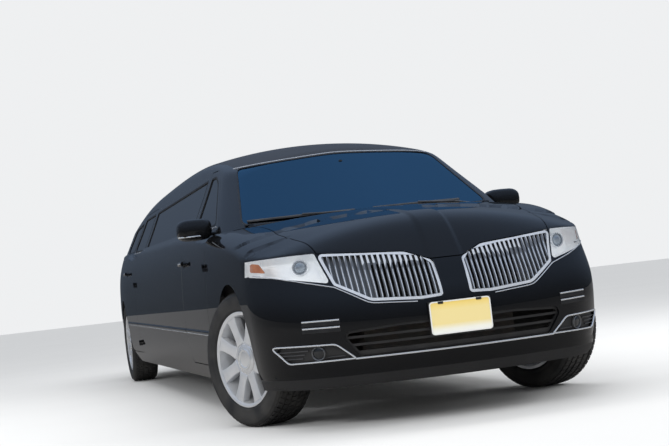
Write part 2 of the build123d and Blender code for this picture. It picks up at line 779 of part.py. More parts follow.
def roof(skin):
    """Roof with its header, cantrails and windscreen pillars, and the windscreen."""
    run = (QUARTER_FRONT_R - TAILGATE_X_R) / (QUARTER_FRONT_R - BEHIND_R)
    tail_z = CANTRAIL_Z + (CANTRAIL_TAIL_Z - CANTRAIL_Z) * run
    zone = [
        (R(TAILGATE_X_R), tail_z + SEAT_GAP, 0),
        (R(QUARTER_FRONT_R), CANTRAIL_Z + SEAT_GAP, 0),
        (F(-1500), CANTRAIL_Z + SEAT_GAP, 0),
        (F(-1500), HEADER_FOOT_Z, 0),
        (F(-300), HEADER_FOOT_Z, 0),
        (F(-300), ABOVE_ROOF_Z, 0),
        (R(TAILGATE_X_R), ABOVE_ROOF_Z, 0),
    ]
    half = (skin.high & side_prism(zone, 1, 0, 0, BESIDE_Y, 0)).cut(
        skin.high_in,
        skin.low,
        side_prism(seen(DOOR1), 1, SHUT_GAP, DOOR_SHEAR),
        side_prism(seen(DOOR2), 1, SHUT_GAP, DOOR_SHEAR),
        front_prism(WINDSCREEN, F(WINDSCREEN_BACK_F), F(0)),
    )
    half = max(half.solids(), key=lambda q: q.volume)
    y, x = TAILGATE_HINGES_Y, R(TAILGATE_X_R)
    ends = (y - KNUCKLE_LENGTH, y - KNUCKLE_RUN)
    half = half.fuse(cross_leaf(x, *ends, TAILGATE_HINGE_Z, 1, LEAF_WIDE_REACH, ROOF_LEAF_FOOT_Z))
    export(half.fuse(mirrored(half)), "roof")
    pane = glass_pane(skin, front_prism(WINDSCREEN, F(WINDSCREEN_BACK_F), F(0), -SEAT_GAP)) - skin.low
    export(max(pane.solids(), key=lambda s: s.volume), "windscreen")


def nose_x(y, z):
    """x of the nose's skin at a width and a height, from the plan outlines, measured from the front axle."""
    rows = []
    for row in HULL:
        height, nose, bow, corner, half = row[:5]
        cx, cy = corner_centre(nose, bow, corner, half, TAPER_FRONT_F, TAPER_RADIUS)
        on_bow = nose - bow + math.sqrt(bow**2 - y**2)
        join = bow * cy / (bow - corner)
        on_corner = cx + math.sqrt(max(corner**2 - (y - cy) ** 2, 0.0))
        rows.append((height, on_bow if y < join else on_corner))
    for (z0, x0), (z1, x1) in zip(rows, rows[1:]):
        if z <= z1:
            return x0 + (x1 - x0) * (z - z0) / (z1 - z0)
    return rows[-1][1]


def bracket():
    """Black bracket in front of the bumper, with four screw bosses for a licence plate."""
    plate = box(F(BRACKET_FACE_F - BRACKET_T), F(BRACKET_FACE_F), -160, 160, PLATE_Z - 82, PLATE_Z + 82)
    bosses = []
    holes = []
    for y in (-PLATE_HOLES_Y / 2, PLATE_HOLES_Y / 2):
        for z in (PLATE_Z - PLATE_HOLES_Z / 2, PLATE_Z + PLATE_HOLES_Z / 2):
            bosses.append(rod((F(BRACKET_FACE_F - 1), y, z), (F(FRONT_OVERHANG), y, z), 7))
            holes.append(rod((F(BRACKET_FACE_F - 20), y, z), (F(FRONT_OVERHANG + 5), y, z), PLATE_HOLE_RADIUS))
    feet = box(F(NOSE_F - 40), F(BRACKET_FACE_F - BRACKET_T / 2), -120, 120, 530, 560) - hull(-BRACKET_SEAT)
    return plate.fuse(feet, *bosses).cut(*holes)


def between(points, y, upper):
    """Height of an outline's upper or lower edge at a width."""
    found = []
    n = len(points)
    for i in range(n):
        (y0, z0, _), (y1, z1, _) = points[i], points[(i + 1) % n]
        if min(y0, y1) <= y <= max(y0, y1) and y0 != y1:
            found.append(z0 + (z1 - z0) * (y - y0) / (y1 - y0))
    return max(found) if upper else min(found)


def slat(y, width, z0, z1, recess, depth):
    """Upright bar whose front edge follows the nose, set back by recess."""
    zm = (z0 + z1) / 2
    f = [(F(nose_x(y, z) - recess), z) for z in (z0, zm, z1)]
    b = [(x - depth, z) for x, z in f]
    at = lambda p: Vector(p[0], y - width / 2, p[1])
    wire = Wire(
        [
            Edge.make_three_point_arc(at(f[0]), at(f[1]), at(f[2])),
            Edge.make_line(at(f[2]), at(b[2])),
            Edge.make_three_point_arc(at(b[2]), at(b[1]), at(b[0])),
            Edge.make_line(at(b[0]), at(f[0])),
        ]
    )
    return Solid.extrude(Face(wire), Vector(0, width, 0))


def hood_zone(grow=0.0):
    """Space that the hood fills, grown for the shut line round it."""
    front = front_prism(HOOD_FRONT, F(-500), F(AHEAD_F), grow)
    return plan_prism(HOOD_PLAN, 700, ABOVE_HOOD_Z, grow) & front


def grille_halves(skin):
    """Rim and upright bars of both grille halves, each bar seated inside its rim."""
    corner = box(F(NOSE_BACK_F), F(AHEAD_F), 0, 700, *GRILLE_INNER_Z)
    face = (skin.low & corner).cut(hull(SKIN), hood_zone(SHUT_GAP))
    opening = front_prism(GRILLE, F(NOSE_BACK_F), F(AHEAD_F), -GRILLE_RIM)
    rim_zone = front_prism(GRILLE, F(NOSE_BACK_F), F(AHEAD_F), -SEAT_GAP) - opening
    inside = front_prism(GRILLE, F(NOSE_BACK_F), F(AHEAD_F), -GRILLE_RIM - SEAT_GAP) - hood_zone(SHUT_GAP + 2)
    pieces = list((face & rim_zone).solids())
    for i in range(GRILLE_BARS):
        y = GRILLE_Y0 + (i + 0.5) * (GRILLE_Y1 - GRILLE_Y0) / GRILLE_BARS
        low, high = between(GRILLE, y, False), between(GRILLE, y, True)
        bar = slat(y, GRILLE_BAR_WIDTH, low, high, BAR_RECESS, BAR_DEPTH)
        pieces += (bar & inside).solids()
    return Compound(children=pieces + [mirrored(x) for x in pieces])


def intake_slab(z):
    """Flat layer that gives one cross bar of the intake."""
    return box(F(NOSE_BACK_F), F(AHEAD_F), -700, 700, z - INTAKE_BAR_HALF, z + INTAKE_BAR_HALF)


def nose(skin):
    """Hood, fenders, front bumper, grilles and headlamps."""
    front = skin.low & box(F(DOOR1_FRONT_F - 70), F(AHEAD_F), -BESIDE_Y, BESIDE_Y, NOSE_LOW_Z, ABOVE_HOOD_Z)
    nose_in = hull(SKIN) & shoulders(SKIN)
    shell = front - nose_in
    y, x = HOOD_HINGES_Y, F(HOOD_HINGE_F)
    ends = (y - KNUCKLE_LENGTH, y - KNUCKLE_RUN)
    leaf = cross_leaf(x, *ends, HOOD_HINGE_Z, 1, LEAF_WIDE_REACH, HOOD_LEAF_FOOT_Z)
    export((shell & hood_zone()).fuse(leaf, mirrored(leaf)), "hood")
    half = shell & box(F(-1000), F(AHEAD_F), 0, BESIDE_Y, 0, ABOVE_HOOD_Z)
    half = half.cut(
        hood_zone(SHUT_GAP),
        front_prism(LAMP, F(LAMP_BACK_F), F(AHEAD_F)),
        front_prism(GRILLE, F(NOSE_BACK_F), F(AHEAD_F)),
        arch(F(0), ARCH_RADIUS, 400, 1100, 1),
    )
    seam = [
        (F(AHEAD_F), 0, 0),
        (F(380), 0, 0),
        (F(330), 620, 0),
        (F(540), 806, 0),
        (F(900), 884, 0),
        (F(AHEAD_F), 884, 0),
    ]
    bumper = half & side_prism(seam, 1, 0, 0, BESIDE_Y, -10)
    bumper = bumper.cut(*[front_prism(hole, F(NOSE_BACK_F), F(AHEAD_F)) for hole in (INTAKE, FOG)])
    bumper = max(bumper.solids(), key=lambda s: s.volume)
    export(bumper.fuse(mirrored(bumper)), "front_bumper")
    wing_zone = [
        (F(WING_REAR_F), DOOR_LOW_Z, 0),
        (F(WING_REAR_F), 1150, 0),
        (F(-430), 1150, 0),
        (F(-430), 1300, 0),
        (F(1000), 1300, 0),
        (F(1000), 0, 0),
        (F(200), 0, 0),
        (F(-300), DOOR_LOW_Z, 0),
    ]
    wing = (half & side_prism(wing_zone, 1)).cut(
        side_prism(seam, 1, SEAT_GAP, 0, BESIDE_Y, -10),
        side_prism(seen(DOOR1), 1, SHUT_GAP, DOOR_SHEAR),
        skin.high,
        plan_prism(COWL_PLAN, 900, ABOVE_HOOD_Z, SEAT_GAP),
    )
    wing = max(wing.solids(), key=lambda s: s.volume)
    liner = rod((F(0), APRON_Y - APRON, AXLE_Z), (F(0), 930, AXLE_Z), LINER_RADIUS + APRON)
    liner = liner - rod((F(0), APRON_Y - 100, AXLE_Z), (F(0), 1000, AXLE_Z), LINER_RADIUS)
    liner = (liner & box(F(-600), F(600), 0, 1000, 330, 1000)) & hull(SKIN + 1)
    apron = box(F(FIREWALL_F + 50), F(LINER_RADIUS + APRON), APRON_Y - APRON, APRON_Y, 330, 860)
    wing = wing.fuse(liner, apron, *upright_hinges(F(DOOR1_FRONT_F), 1, False))
    for side, tag in ((1, "left"), (-1, "right")):
        export(wing if side > 0 else mirrored(wing), f"fender_{tag}")
    export(grille_halves(skin), "upper_grilles")
    corner = front & box(F(400), F(900), 500, 1000, 650, 950)
    lamp = (corner & front_prism(LAMP, F(LAMP_BACK_F), F(AHEAD_F), -SEAT_GAP)) - hull(LAMP_DEPTH)
    export(both(max(lamp.solids(), key=lambda s: s.volume)), "headlamps")
    block = box(F(NOSE_BACK_F), F(AHEAD_F), -900, 900, NOSE_LOW_Z, 620)
    band = (front & block & hull(INTAKE_SET[0])) - hull(INTAKE_SET[1])
    zone = front_prism(INTAKE, F(NOSE_BACK_F), F(AHEAD_F), -SEAT_GAP)
    edge = zone - front_prism(INTAKE, F(NOSE_BACK_F), F(AHEAD_F), -INTAKE_EDGE)
    slabs = [intake_slab(z) for z in INTAKE_BARS]
    mesh = band & union([edge] + [zone & s for s in slabs])
    fog = band & front_prism(FOG, F(NOSE_BACK_F), F(AHEAD_F), -SEAT_GAP)
    export(Compound(children=list(mesh.solids()) + list(both(fog).solids())), "lower_grille")
    cowl = (skin.low & plan_prism(COWL_PLAN, 900, ABOVE_HOOD_Z)).cut(
        nose_in,
        skin.high,
        hood_zone(SHUT_GAP),
        side_prism(seen(DOOR1), 1, SHUT_GAP + 2, DOOR_SHEAR),
        side_prism(seen(DOOR1), -1, SHUT_GAP + 2, DOOR_SHEAR),
    )
    cowl = max(cowl.solids(), key=lambda s: s.volume)
    ends = (y + KNUCKLE_RUN, y + KNUCKLE_LENGTH - 2)
    leaf = cross_leaf(x, *ends, HOOD_HINGE_Z, -1, LEAF_REACH, HOOD_LEAF_FOOT_Z) - skin.high
    export(cowl.fuse(leaf, mirrored(leaf)), "cowl")


def revolve_y(points):
    """Body of revolution about the Y axis from a closed outline of (radius, y)."""
    wire = Wire.make_polygon([Vector(r, y, 0) for r, y in points], close=True)
    return Solid.revolve(Face(wire), 360, Axis.Y)


def tyre():
    """Low-profile tyre with round shoulders, about the Y axis."""
    w = TYRE_WALL
    at = lambda p, s: Vector(p[0], p[1] * s, 0)
    crest = Vector(TYRE_RADIUS, 0, 0)
    edges = [
        Edge.make_line(at(w[0], -1), at(w[0], 1)),
        Edge.make_line(at(w[0], 1), at(w[1], 1)),
        Edge.make_three_point_arc(at(w[1], 1), at(w[2], 1), at(w[3], 1)),
        Edge.make_line(at(w[3], 1), at(TREAD_EDGE, 1)),
        Edge.make_three_point_arc(at(TREAD_EDGE, 1), crest, at(TREAD_EDGE, -1)),
        Edge.make_line(at(TREAD_EDGE, -1), at(w[3], -1)),
        Edge.make_three_point_arc(at(w[3], -1), at(w[2], -1), at(w[1], -1)),
        Edge.make_line(at(w[1], -1), at(w[0], -1)),
    ]
    return Solid.revolve(Face(Wire(edges)), 360, Axis.Y)


def rim():
    """Wheel with eight wide flat spokes, its hub and brake disc, about the Y axis, face towards +Y."""
    barrel = revolve_y(
        [
            (RIM_RADIUS, RIM_BACK + 9),
            (RIM_RADIUS, RIM_FACE - 9),
            (LIP_RADIUS, RIM_FACE - 3),
            (LIP_RADIUS, RIM_FACE),
            (LIP_RADIUS - 12, RIM_FACE),
            (RIM_RADIUS - 10, RIM_FACE - 22),
            (RIM_RADIUS - 10, RIM_BACK),
            (LIP_RADIUS, RIM_BACK),
        ]
    )
    plate = revolve_y(
        [(0, 84), (62, 84), (72, 74), (120, 80), (RIM_RADIUS - 8, 96), (RIM_RADIUS - 8, 60), (120, 48), (0, HUB_FACE)]
    )
    window = [
        (112, -16, 12),
        (150, -38, 20),
        (213, -58, 24),
        (222, 0, 150),
        (213, 58, 24),
        (150, 38, 20),
        (112, 16, 12),
    ]
    wire = rounded(window, 0, lambda u, v: Vector(u, 130, v))
    cutter = Solid.extrude(Face(wire), Vector(0, -130, 0))
    cutters = [cutter.rotate(Axis.Y, 360 / SPOKES * (i + 0.5)) for i in range(SPOKES)]
    hub = revolve_y([(0, HUB_FACE + 15), (70, HUB_FACE + 15), (70, 12), (0, 12)])
    disc = revolve_y([(0, 12), (DISC_RADIUS, 12), (DISC_RADIUS, -14), (0, -14)])
    return barrel.fuse(plate.cut(*cutters)).fuse(hub, disc)


def wheels():
    """Four wheels, the front pair steered to the rest angle, with the knuckles that carry them."""
    one_tyre, one_rim = tyre(), rim()
    offset = HALF_TRACK - KINGPIN_Y
    carrier = knuckle()
    for side, tag in ((1, "left"), (-1, "right")):
        turn = 0 if side > 0 else 180
        for end, x in (("front", F(0)), ("rear", R(0))):
            steer = STEER_REST if end == "front" else 0.0
            for piece, name in ((one_tyre, "tyre"), (one_rim, "rim")):
                local = Location((0, side * offset, 0)) * Location((0, 0, 0), (0, 0, turn))
                pivot = Location((x, side * KINGPIN_Y, AXLE_Z)) * Location((0, 0, 0), (0, 0, steer))
                export(piece.moved(pivot * local), f"{name}_{end}_{tag}")
        pivot = Location((F(0), side * KINGPIN_Y, AXLE_Z)) * Location((0, 0, 0), (0, 0, STEER_REST + turn))
        export(carrier.moved(pivot), f"knuckle_{tag}")


def knuckle():
    """Upright about the kingpin: bearing carrier, lower eye and steering arm, wheel towards +Y."""
    y1 = HALF_TRACK - KINGPIN_Y - 14 - 1
    post = box(-32, 32, -24, 20, ARM_Z + 16 - AXLE_Z, 95)
    carrier = rod((0, -24, 0), (0, y1, 0), 58)
    steering_arm = box(-150, -20, -24, -2, -62, -40)
    caliper = box(100, 175, 20, y1, -70, 70) - rod((0, 0, 0), (0, 200, 0), DISC_RADIUS * 0.55)
    bracket = box(30, 120, 0, 24, -30, 30)
    return post.fuse(carrier, steering_arm, caliper, bracket)


def chassis(skin):
    """Floor, sills, ladder frame, suspension and rear axle."""
    edge = hull(DOOR_WALL + FLOOR_EDGE_GAP)
    riser = R(REAR_RISER_R)
    low = edge & box(riser, F(FIREWALL_F), -1200, 1200, FLOOR_Z, FLOOR_Z + FLOOR_T)
    back = edge & box(R(FLOOR_TAIL_R), riser + 16, -1200, 1200, REAR_FLOOR_Z, REAR_FLOOR_Z + FLOOR_T)
    step = edge & box(riser, riser + 16, -1200, 1200, FLOOR_Z, REAR_FLOOR_Z + FLOOR_T)
    wells = [rod((R(0), q * 686, AXLE_Z), (R(0), q * 1000, AXLE_Z), ARCH_RADIUS + 16) for q in (1, -1)]
    firewall = box(F(FIREWALL_F), F(FIREWALL_F + 40), -APRON_Y + 2, APRON_Y - 2, FLOOR_Z, 1040)
    export(low.fuse(step, back, firewall).cut(*wells), "floor_pan")
    sill = skin.low & box(R(470), F(-440), 0, 1200, SILL_Z, FLOOR_Z - SEAT_GAP)
    sill = sill.cut(hull(DOOR_WALL + 70), arch(F(0), LINER_RADIUS + APRON + 2, 0, 1200, 1))
    export(both(sill), "sills")
    rails = []
    for side in (1, -1):
        y = side * RAIL_Y
        rails.append(box(*RAIL_ENDS, y - RAIL_HALF, y + RAIL_HALF, RAIL_LOW_Z, FLOOR_Z - SEAT_GAP))
    for x in CROSS_X:
        ends = (x - CROSS_HALF, x + CROSS_HALF, -RAIL_Y - 20, RAIL_Y + 20)
        rails.append(box(*ends, FLOOR_Z - CROSS_T, FLOOR_Z - SEAT_GAP))
    export(union(rails), "ladder_frame")
    arms = []
    for side in (1, -1):
        eye = rod((F(0), side * KINGPIN_Y, ARM_Z - 16), (F(0), side * KINGPIN_Y, ARM_Z + 15.5), EYE_RADIUS)
        root_y = RAIL_Y + RAIL_HALF + SEAT_GAP
        arm = side_arm(side, F(0), KINGPIN_Y - 10, root_y, ARM_Z)
        foot = box(F(-170), F(170), side * root_y, side * (RAIL_Y + 60), ARM_Z - 12, ARM_Z + 60)
        strut = rod((F(0), side * STRUT_Y, STRUT_LOW_Z), (F(0), side * STRUT_Y, STRUT_TOP_Z), STRUT_RADIUS)
        arms += [eye.fuse(arm, foot), strut]
    export(Compound(children=[q for a in arms for q in a.solids()]), "front_suspension")
    end = HALF_TRACK - 14.5
    beam = rod((R(0), -end, AXLE_Z), (R(0), end, AXLE_Z), AXLE_TUBE_RADIUS)
    case = Solid.make_sphere(AXLE_CASE_RADIUS, Plane(origin=(R(0), 0, AXLE_Z)))
    run, half, drop = AXLE_PAD
    pads = [box(R(-run), R(run), q * RAIL_Y - half, q * RAIL_Y + half, FLOOR_Z, AXLE_Z - drop) for q in (1, -1)]
    export(beam.fuse(case, *pads), "rear_axle")


def side_arm(side, x, y_out, y_in, z):
    """Wishbone from a rail to the lower eye."""
    points = [(x - 160, y_in, 0), (x + 160, y_in, 0), (x + 26, y_out, 0), (x - 26, y_out, 0)]
    points = [(u, side * v, r) for u, v, r in points]
    return plan_prism(points, z - 12, z + 12)


def tail(skin):
    """Tailgate with its window and lamp bar, and the rear bumper."""
    region = front_prism(TAILGATE, R(BEHIND_R), R(TAILGATE_X_R) - SHUT_GAP)
    gate = skin.panel(region)
    lamp_zone = box(R(BEHIND_R), R(-900), -LAMP_BAR_Y, LAMP_BAR_Y, LAMP_BAR_LOW, LAMP_BAR_HIGH)
    lamp_bar = (gate & lamp_zone) & (hull(LAMP_BAR_SET[0]) - hull(LAMP_BAR_SET[1]))
    pane_zone = front_prism(TAILGATE_GLASS, R(BEHIND_R), R(TAILGATE_X_R - 30))
    gate = gate.cut(lamp_zone & (skin.low - hull(LAMP_BAR_SET[2])), pane_zone)
    gate = max(gate.solids(), key=lambda q: q.volume)
    y, x = TAILGATE_HINGES_Y, R(TAILGATE_X_R)
    ends = (y + KNUCKLE_RUN, y + KNUCKLE_LENGTH)
    leaf = cross_leaf(x, *ends, TAILGATE_HINGE_Z, -1, LEAF_WIDE_REACH, GATE_LEAF_FOOT_Z)
    export(gate.fuse(leaf, mirrored(leaf)), "tailgate")
    export(lamp_bar, "tail_lamps")
    opening = front_prism(TAILGATE_GLASS, R(BEHIND_R), R(TAILGATE_X_R - 30), -SEAT_GAP)
    pane = glass_pane(skin, opening) - skin.low
    export(max(pane.solids(), key=lambda q: q.volume), "tailgate_glass")
    front_x = R(REAR_BUMPER_FRONT_R - SEAT_GAP)
    zone = box(R(BEHIND_R), front_x, -BESIDE_Y, BESIDE_Y, REAR_BUMPER_LOW_Z, BUMPER_TOP_R - SEAT_GAP)
    bumper = (skin.low & zone).cut(
        skin.low_in,
        front_prism(TAILGATE, R(BEHIND_R), R(TAILGATE_X_R), SHUT_GAP),
        arch(R(0), ARCH_RADIUS, 400, 1100, 1),
        arch(R(0), ARCH_RADIUS, 400, 1100, -1),
        *[rod((R(-900), y, PIPE_Z), (R(-1400), y, PIPE_Z), TIP_CUT_RADIUS) for y in TIP_Y],
    )
    export(max(bumper.solids(), key=lambda q: q.volume), "rear_bumper")


def mirrors(skin):
    """Door mirrors on short arms."""
    head = box(F(-825), F(-700), MIRROR_Y - 178, MIRROR_Y, 1058, 1188)
    head = head.fillet(34, head.edges())
    arm = box(F(-800), F(-740), 800, MIRROR_Y - 120, 1078, 1104)
    whole = head.fuse(arm) - skin.outer
    whole = max(whole.solids(), key=lambda q: q.center().Y)
    for side, tag in ((1, "left"), (-1, "right")):
        export(whole if side > 0 else mirrored(whole), f"mirror_{tag}")


def seat(x, y, z, width, depth, back, head=True):
    """Bench or chair facing forwards: cushion, leaning back and headrest as one solid."""
    outline = [
        (x, z, 40),
        (x + depth, z, 50),
        (x + depth, z + 160, 50),
        (x + 110, z + 130, 60),
        (x - back * 0.35, z + 130 + back, 40),
        (x - back * 0.35 - 90, z + 110 + back, 40),
        (x - 40, z + 60, 40),
    ]
    wire = rounded(outline, 0, lambda u, v: Vector(u, y - width / 2, v))
    body = Solid.extrude(Face(wire), Vector(0, width, 0))
    if head:
        crest = x - back * 0.35
        top = box(crest - 100, crest - 10, y - 130, y + 130, z + 150 + back, z + 310 + back)
        spots = [(crest - 52, y - 60), (crest - 52, y + 60)]
        posts = [rod((u, v, z + 60 + back), (u, v, z + 180 + back), 7) for u, v in spots]
        body = body.fuse(top.fillet(30, top.edges()), *posts)
    return body


def interior(skin):
    """Dashboard with the steering wheel, front chairs, partition and lounge benches."""
    base = FLOOR_Z + FLOOR_T
    dash = box(F(DASH_F[0]), F(DASH_F[1]), -DASH_Y, DASH_Y, *DASH_HEIGHTS)
    dash = dash.fillet(DASH_ROUND, dash.edges().filter_by(Axis.Y))
    console = box(F(CONSOLE_F[0]), F(CONSOLE_F[1]), -CONSOLE_Y, CONSOLE_Y, base + SEAT_GAP, CONSOLE_TOP_Z)
    foot, top = [(F(x), DRIVER_Y, z) for x, z in COLUMN]
    column = rod(foot, top, COLUMN_RADIUS)
    centre = (F(WHEEL_CENTRE[0]), DRIVER_Y, WHEEL_CENTRE[1])
    wheel = Solid.make_torus(*WHEEL_RING, Plane(origin=centre, z_dir=WHEEL_TILT))
    hub = Solid.make_cylinder(*WHEEL_HUB, Plane(origin=(F(-1050), DRIVER_Y, 981), z_dir=WHEEL_TILT))
    bar = box(-12, 12, -182, 182, -9, 9)
    bar = bar.moved(Plane(origin=(F(-1072), DRIVER_Y, 989), z_dir=WHEEL_TILT, x_dir=(0.31, 0, 0.95)).location)
    export(dash.fuse(console, column, hub, wheel, bar), "dashboard")
    chairs = []
    for y in (DRIVER_Y, -DRIVER_Y):
        plinth = box(F(PLINTH_F[0]), F(PLINTH_F[1]), y - PLINTH_Y, y + PLINTH_Y, base + SEAT_GAP, base + 90)
        chairs.append(seat(F(CHAIR_F), y, base + SEAT_GAP + CHAIR_RISE, **CHAIR).fuse(plinth))
    export(Compound(children=chairs), "front_seats")
    low = base + SEAT_GAP
    half = [(y, z + base if z else low) for y, z in PARTITION_HALF]
    outline = [(y, z, 0) for y, z in half] + [(-y, z, 0) for y, z in reversed(half)]
    hatch = box(F(PARTITION_F[0] - 40), F(PARTITION_F[1] + 40), -HATCH_Y, HATCH_Y, *HATCH_HEIGHTS)
    export(front_prism(outline, F(PARTITION_F[0]), F(PARTITION_F[1])) - hatch, "partition")
    bench = side_bench(base + SEAT_GAP)
    deck = REAR_FLOOR_Z + FLOOR_T + SEAT_GAP
    rear = seat(R(REAR_BENCH_R), 0, deck + 10, **REAR_BENCH, head=False)
    plinth = box(R(-60), R(380), -600, 600, deck, deck + 40)
    cabinet = box(*LOUNGE_ENDS, *CABINET_Y, base + SEAT_GAP, CABINET_TOP_Z)
    export(Compound(children=[bench, rear.fuse(plinth), cabinet]), "lounge_furniture")


def side_bench(base):
    """Bench along the right side of the lounge, facing the middle."""
    outline = [
        (-806, base, 10),
        (-330, base, 30),
        (-330, base + 300, 50),
        (-680, base + 270, 60),
        (-750, base + 700, 18),
        (-806, base + 700, 12),
    ]
    return front_prism(outline, *LOUNGE_ENDS)


def powertrain():
    """Engine, radiator, driveshaft, tank and exhaust."""
    block = box(F(ENGINE_F[0]), F(ENGINE_F[1]), -ENGINE_Y, ENGINE_Y, FLOOR_Z, ENGINE_TOP_Z)
    under = FLOOR_Z - CROSS_T - 1
    gearbox = box(F(GEARBOX_F[0]), F(GEARBOX_F[1]), -GEARBOX_Y, GEARBOX_Y, GEARBOX_LOW_Z, under)
    neck = box(F(NECK_BACK_F), F(GEARBOX_F[1]), -GEARBOX_Y, GEARBOX_Y, FLOOR_Z - 60, FLOOR_Z + 10)
    radiator = box(F(RADIATOR_F[0]), F(RADIATOR_F[1]), -RADIATOR_Y, RADIATOR_Y, FLOOR_Z, RADIATOR_TOP_Z)
    export(Compound(children=[block.fuse(gearbox, neck), radiator]), "engine")
    joint = (R(SHAFT_JOINT_R), 0, SHAFT_Z)
    rear_half = rod((R(SHAFT_END[0]), 0, SHAFT_END[1]), joint, SHAFT_RADIUS)
    front_half = rod(joint, (F(GEARBOX_F[0] - 0.5), 0, SHAFT_Z), SHAFT_RADIUS)
    shaft = rear_half.fuse(front_half, Solid.make_sphere(SHAFT_JOINT_RADIUS, Plane(origin=joint)))
    export(shaft, "driveshaft")
    tank = box(R(TANK_R[0]), R(TANK_R[1]), SEAT_GAP + RAIL_HALF - RAIL_Y, TANK_RIGHT_Y, TANK_LOW_Z, under)
    export(tank, "fuel_tank")
    pipe = rod((PIPE_ENDS[0], PIPE_Y, PIPE_Z), (PIPE_ENDS[1], PIPE_Y, PIPE_Z), PIPE_RADIUS)
    top = FLOOR_Z - CROSS_T - SEAT_GAP
    muffler = box(R(MUFFLER_R[0]), R(MUFFLER_R[1]), *MUFFLER_Y, MUFFLER_LOW_Z, top)
    tips = [rod((R(TIP_R[0]), y, PIPE_Z), (R(TIP_R[1]), y, PIPE_Z), TIP_RADIUS) for y in TIP_Y]
    export(muffler.fuse(pipe, *tips), "exhaust")


def main():
    """Build every piece."""
    skin = Skin()
    export(bracket(), "plate_bracket")
    doors(skin)
    side_panels(skin)
    roof(skin)
    nose(skin)
    tail(skin)
    mirrors(skin)
    wheels()
    chassis(skin)
    interior(skin)
    powertrain()


if __name__ == "__main__":
    main()
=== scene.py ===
"""Stretch limousine: looks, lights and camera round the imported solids."""
from __future__ import annotations

import json
import logging
import math
import random
from dataclasses import dataclass, field, replace
from enum import Enum
from functools import partial
from typing import Callable, Iterable, Sequence

import bmesh
import bpy
import numpy as np
from mathutils import Matrix, Vector

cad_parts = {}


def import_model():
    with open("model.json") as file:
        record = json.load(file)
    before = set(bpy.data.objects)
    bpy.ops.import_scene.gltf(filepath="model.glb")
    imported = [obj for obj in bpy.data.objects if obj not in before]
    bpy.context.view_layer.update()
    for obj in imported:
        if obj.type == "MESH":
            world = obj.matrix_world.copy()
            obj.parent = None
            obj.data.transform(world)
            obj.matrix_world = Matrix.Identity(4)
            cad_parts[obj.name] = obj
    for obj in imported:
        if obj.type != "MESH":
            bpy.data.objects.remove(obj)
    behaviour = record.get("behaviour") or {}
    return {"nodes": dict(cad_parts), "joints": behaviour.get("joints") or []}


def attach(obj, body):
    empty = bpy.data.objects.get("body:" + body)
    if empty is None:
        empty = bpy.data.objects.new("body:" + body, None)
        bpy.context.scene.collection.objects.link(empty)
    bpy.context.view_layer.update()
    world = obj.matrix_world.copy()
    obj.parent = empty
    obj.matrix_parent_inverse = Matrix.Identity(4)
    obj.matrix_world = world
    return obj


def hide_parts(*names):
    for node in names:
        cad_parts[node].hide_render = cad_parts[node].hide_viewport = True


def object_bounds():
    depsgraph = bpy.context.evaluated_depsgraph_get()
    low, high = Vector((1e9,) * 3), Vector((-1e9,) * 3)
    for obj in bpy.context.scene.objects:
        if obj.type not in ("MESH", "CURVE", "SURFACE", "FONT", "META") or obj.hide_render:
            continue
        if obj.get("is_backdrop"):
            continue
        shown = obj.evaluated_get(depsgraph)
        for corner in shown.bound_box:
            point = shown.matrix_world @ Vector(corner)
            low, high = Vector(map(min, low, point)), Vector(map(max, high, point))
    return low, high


LOG = logging.getLogger("limousine")
PHOTO_SIZE = (669, 446)
MM = 0.001
SEED = 11
FRONT_AXLE = 3117.0
REAR_AXLE = -2926.0
SENSOR = 36.0
MERGE = 0.00001
SOFT_EDGE = 14.0
AHEAD = 5200.0
ASIDE = 1200.0
LAYING_MOVES = 60
LAYING_SHARE = 0.8


class Side(Enum):
    """Left and right of the car."""

    LEFT = 1
    RIGHT = -1

    @property
    def tag(self) -> str:
        """The side's word in node and body names."""
        return self.name.lower()


class Skin(Enum):
    """Which outer surface a face lies on, kept as a material index."""

    INNER = 0
    LOWER = 1
    UPPER = 2


def front(x: float) -> float:
    """An x from the front axle, in the row frame, in millimetres."""
    return FRONT_AXLE + x


def rear(x: float) -> float:
    """An x from the rear axle, in the row frame, in millimetres."""
    return REAR_AXLE + x


class Signal:
    """A shader socket that takes part in Python arithmetic."""

    def __init__(self, graph: Graph, socket: bpy.types.NodeSocket) -> None:
        """Keep the graph and the socket."""
        self.graph = graph
        self.socket = socket

    def _math(self, operation: str, *values: object) -> Signal:
        """Add a Math node on the given values."""
        return self.graph.add("ShaderNodeMath", {"operation": operation}, dict(enumerate(values)))

    def __add__(self, other: object) -> Signal:
        """Sum."""
        return self._math("ADD", self, other)

    def __radd__(self, other: object) -> Signal:
        """Sum with a number on the left."""
        return self._math("ADD", other, self)

    def __sub__(self, other: object) -> Signal:
        """Difference."""
        return self._math("SUBTRACT", self, other)

    def __rsub__(self, other: object) -> Signal:
        """Difference from a number on the left."""
        return self._math("SUBTRACT", other, self)

    def __mul__(self, other: object) -> Signal:
        """Product."""
        return self._math("MULTIPLY", self, other)

    def __rmul__(self, other: object) -> Signal:
        """Product with a number on the left."""
        return self._math("MULTIPLY", other, self)

    def above(self, limit: float, width: float) -> Signal:
        """Soft step from 0 to 1 round a limit."""
        settings = {"interpolation_type": "SMOOTHSTEP"}
        inputs = {0: self, 1: limit - width, 2: limit + width, 3: 0.0, 4: 1.0}
        return self.graph.add("ShaderNodeMapRange", settings, inputs)

    def spread(self, low: float, high: float) -> Signal:
        """The signal's 0 to 1 stretched between two values."""
        return self * (high - low) + low


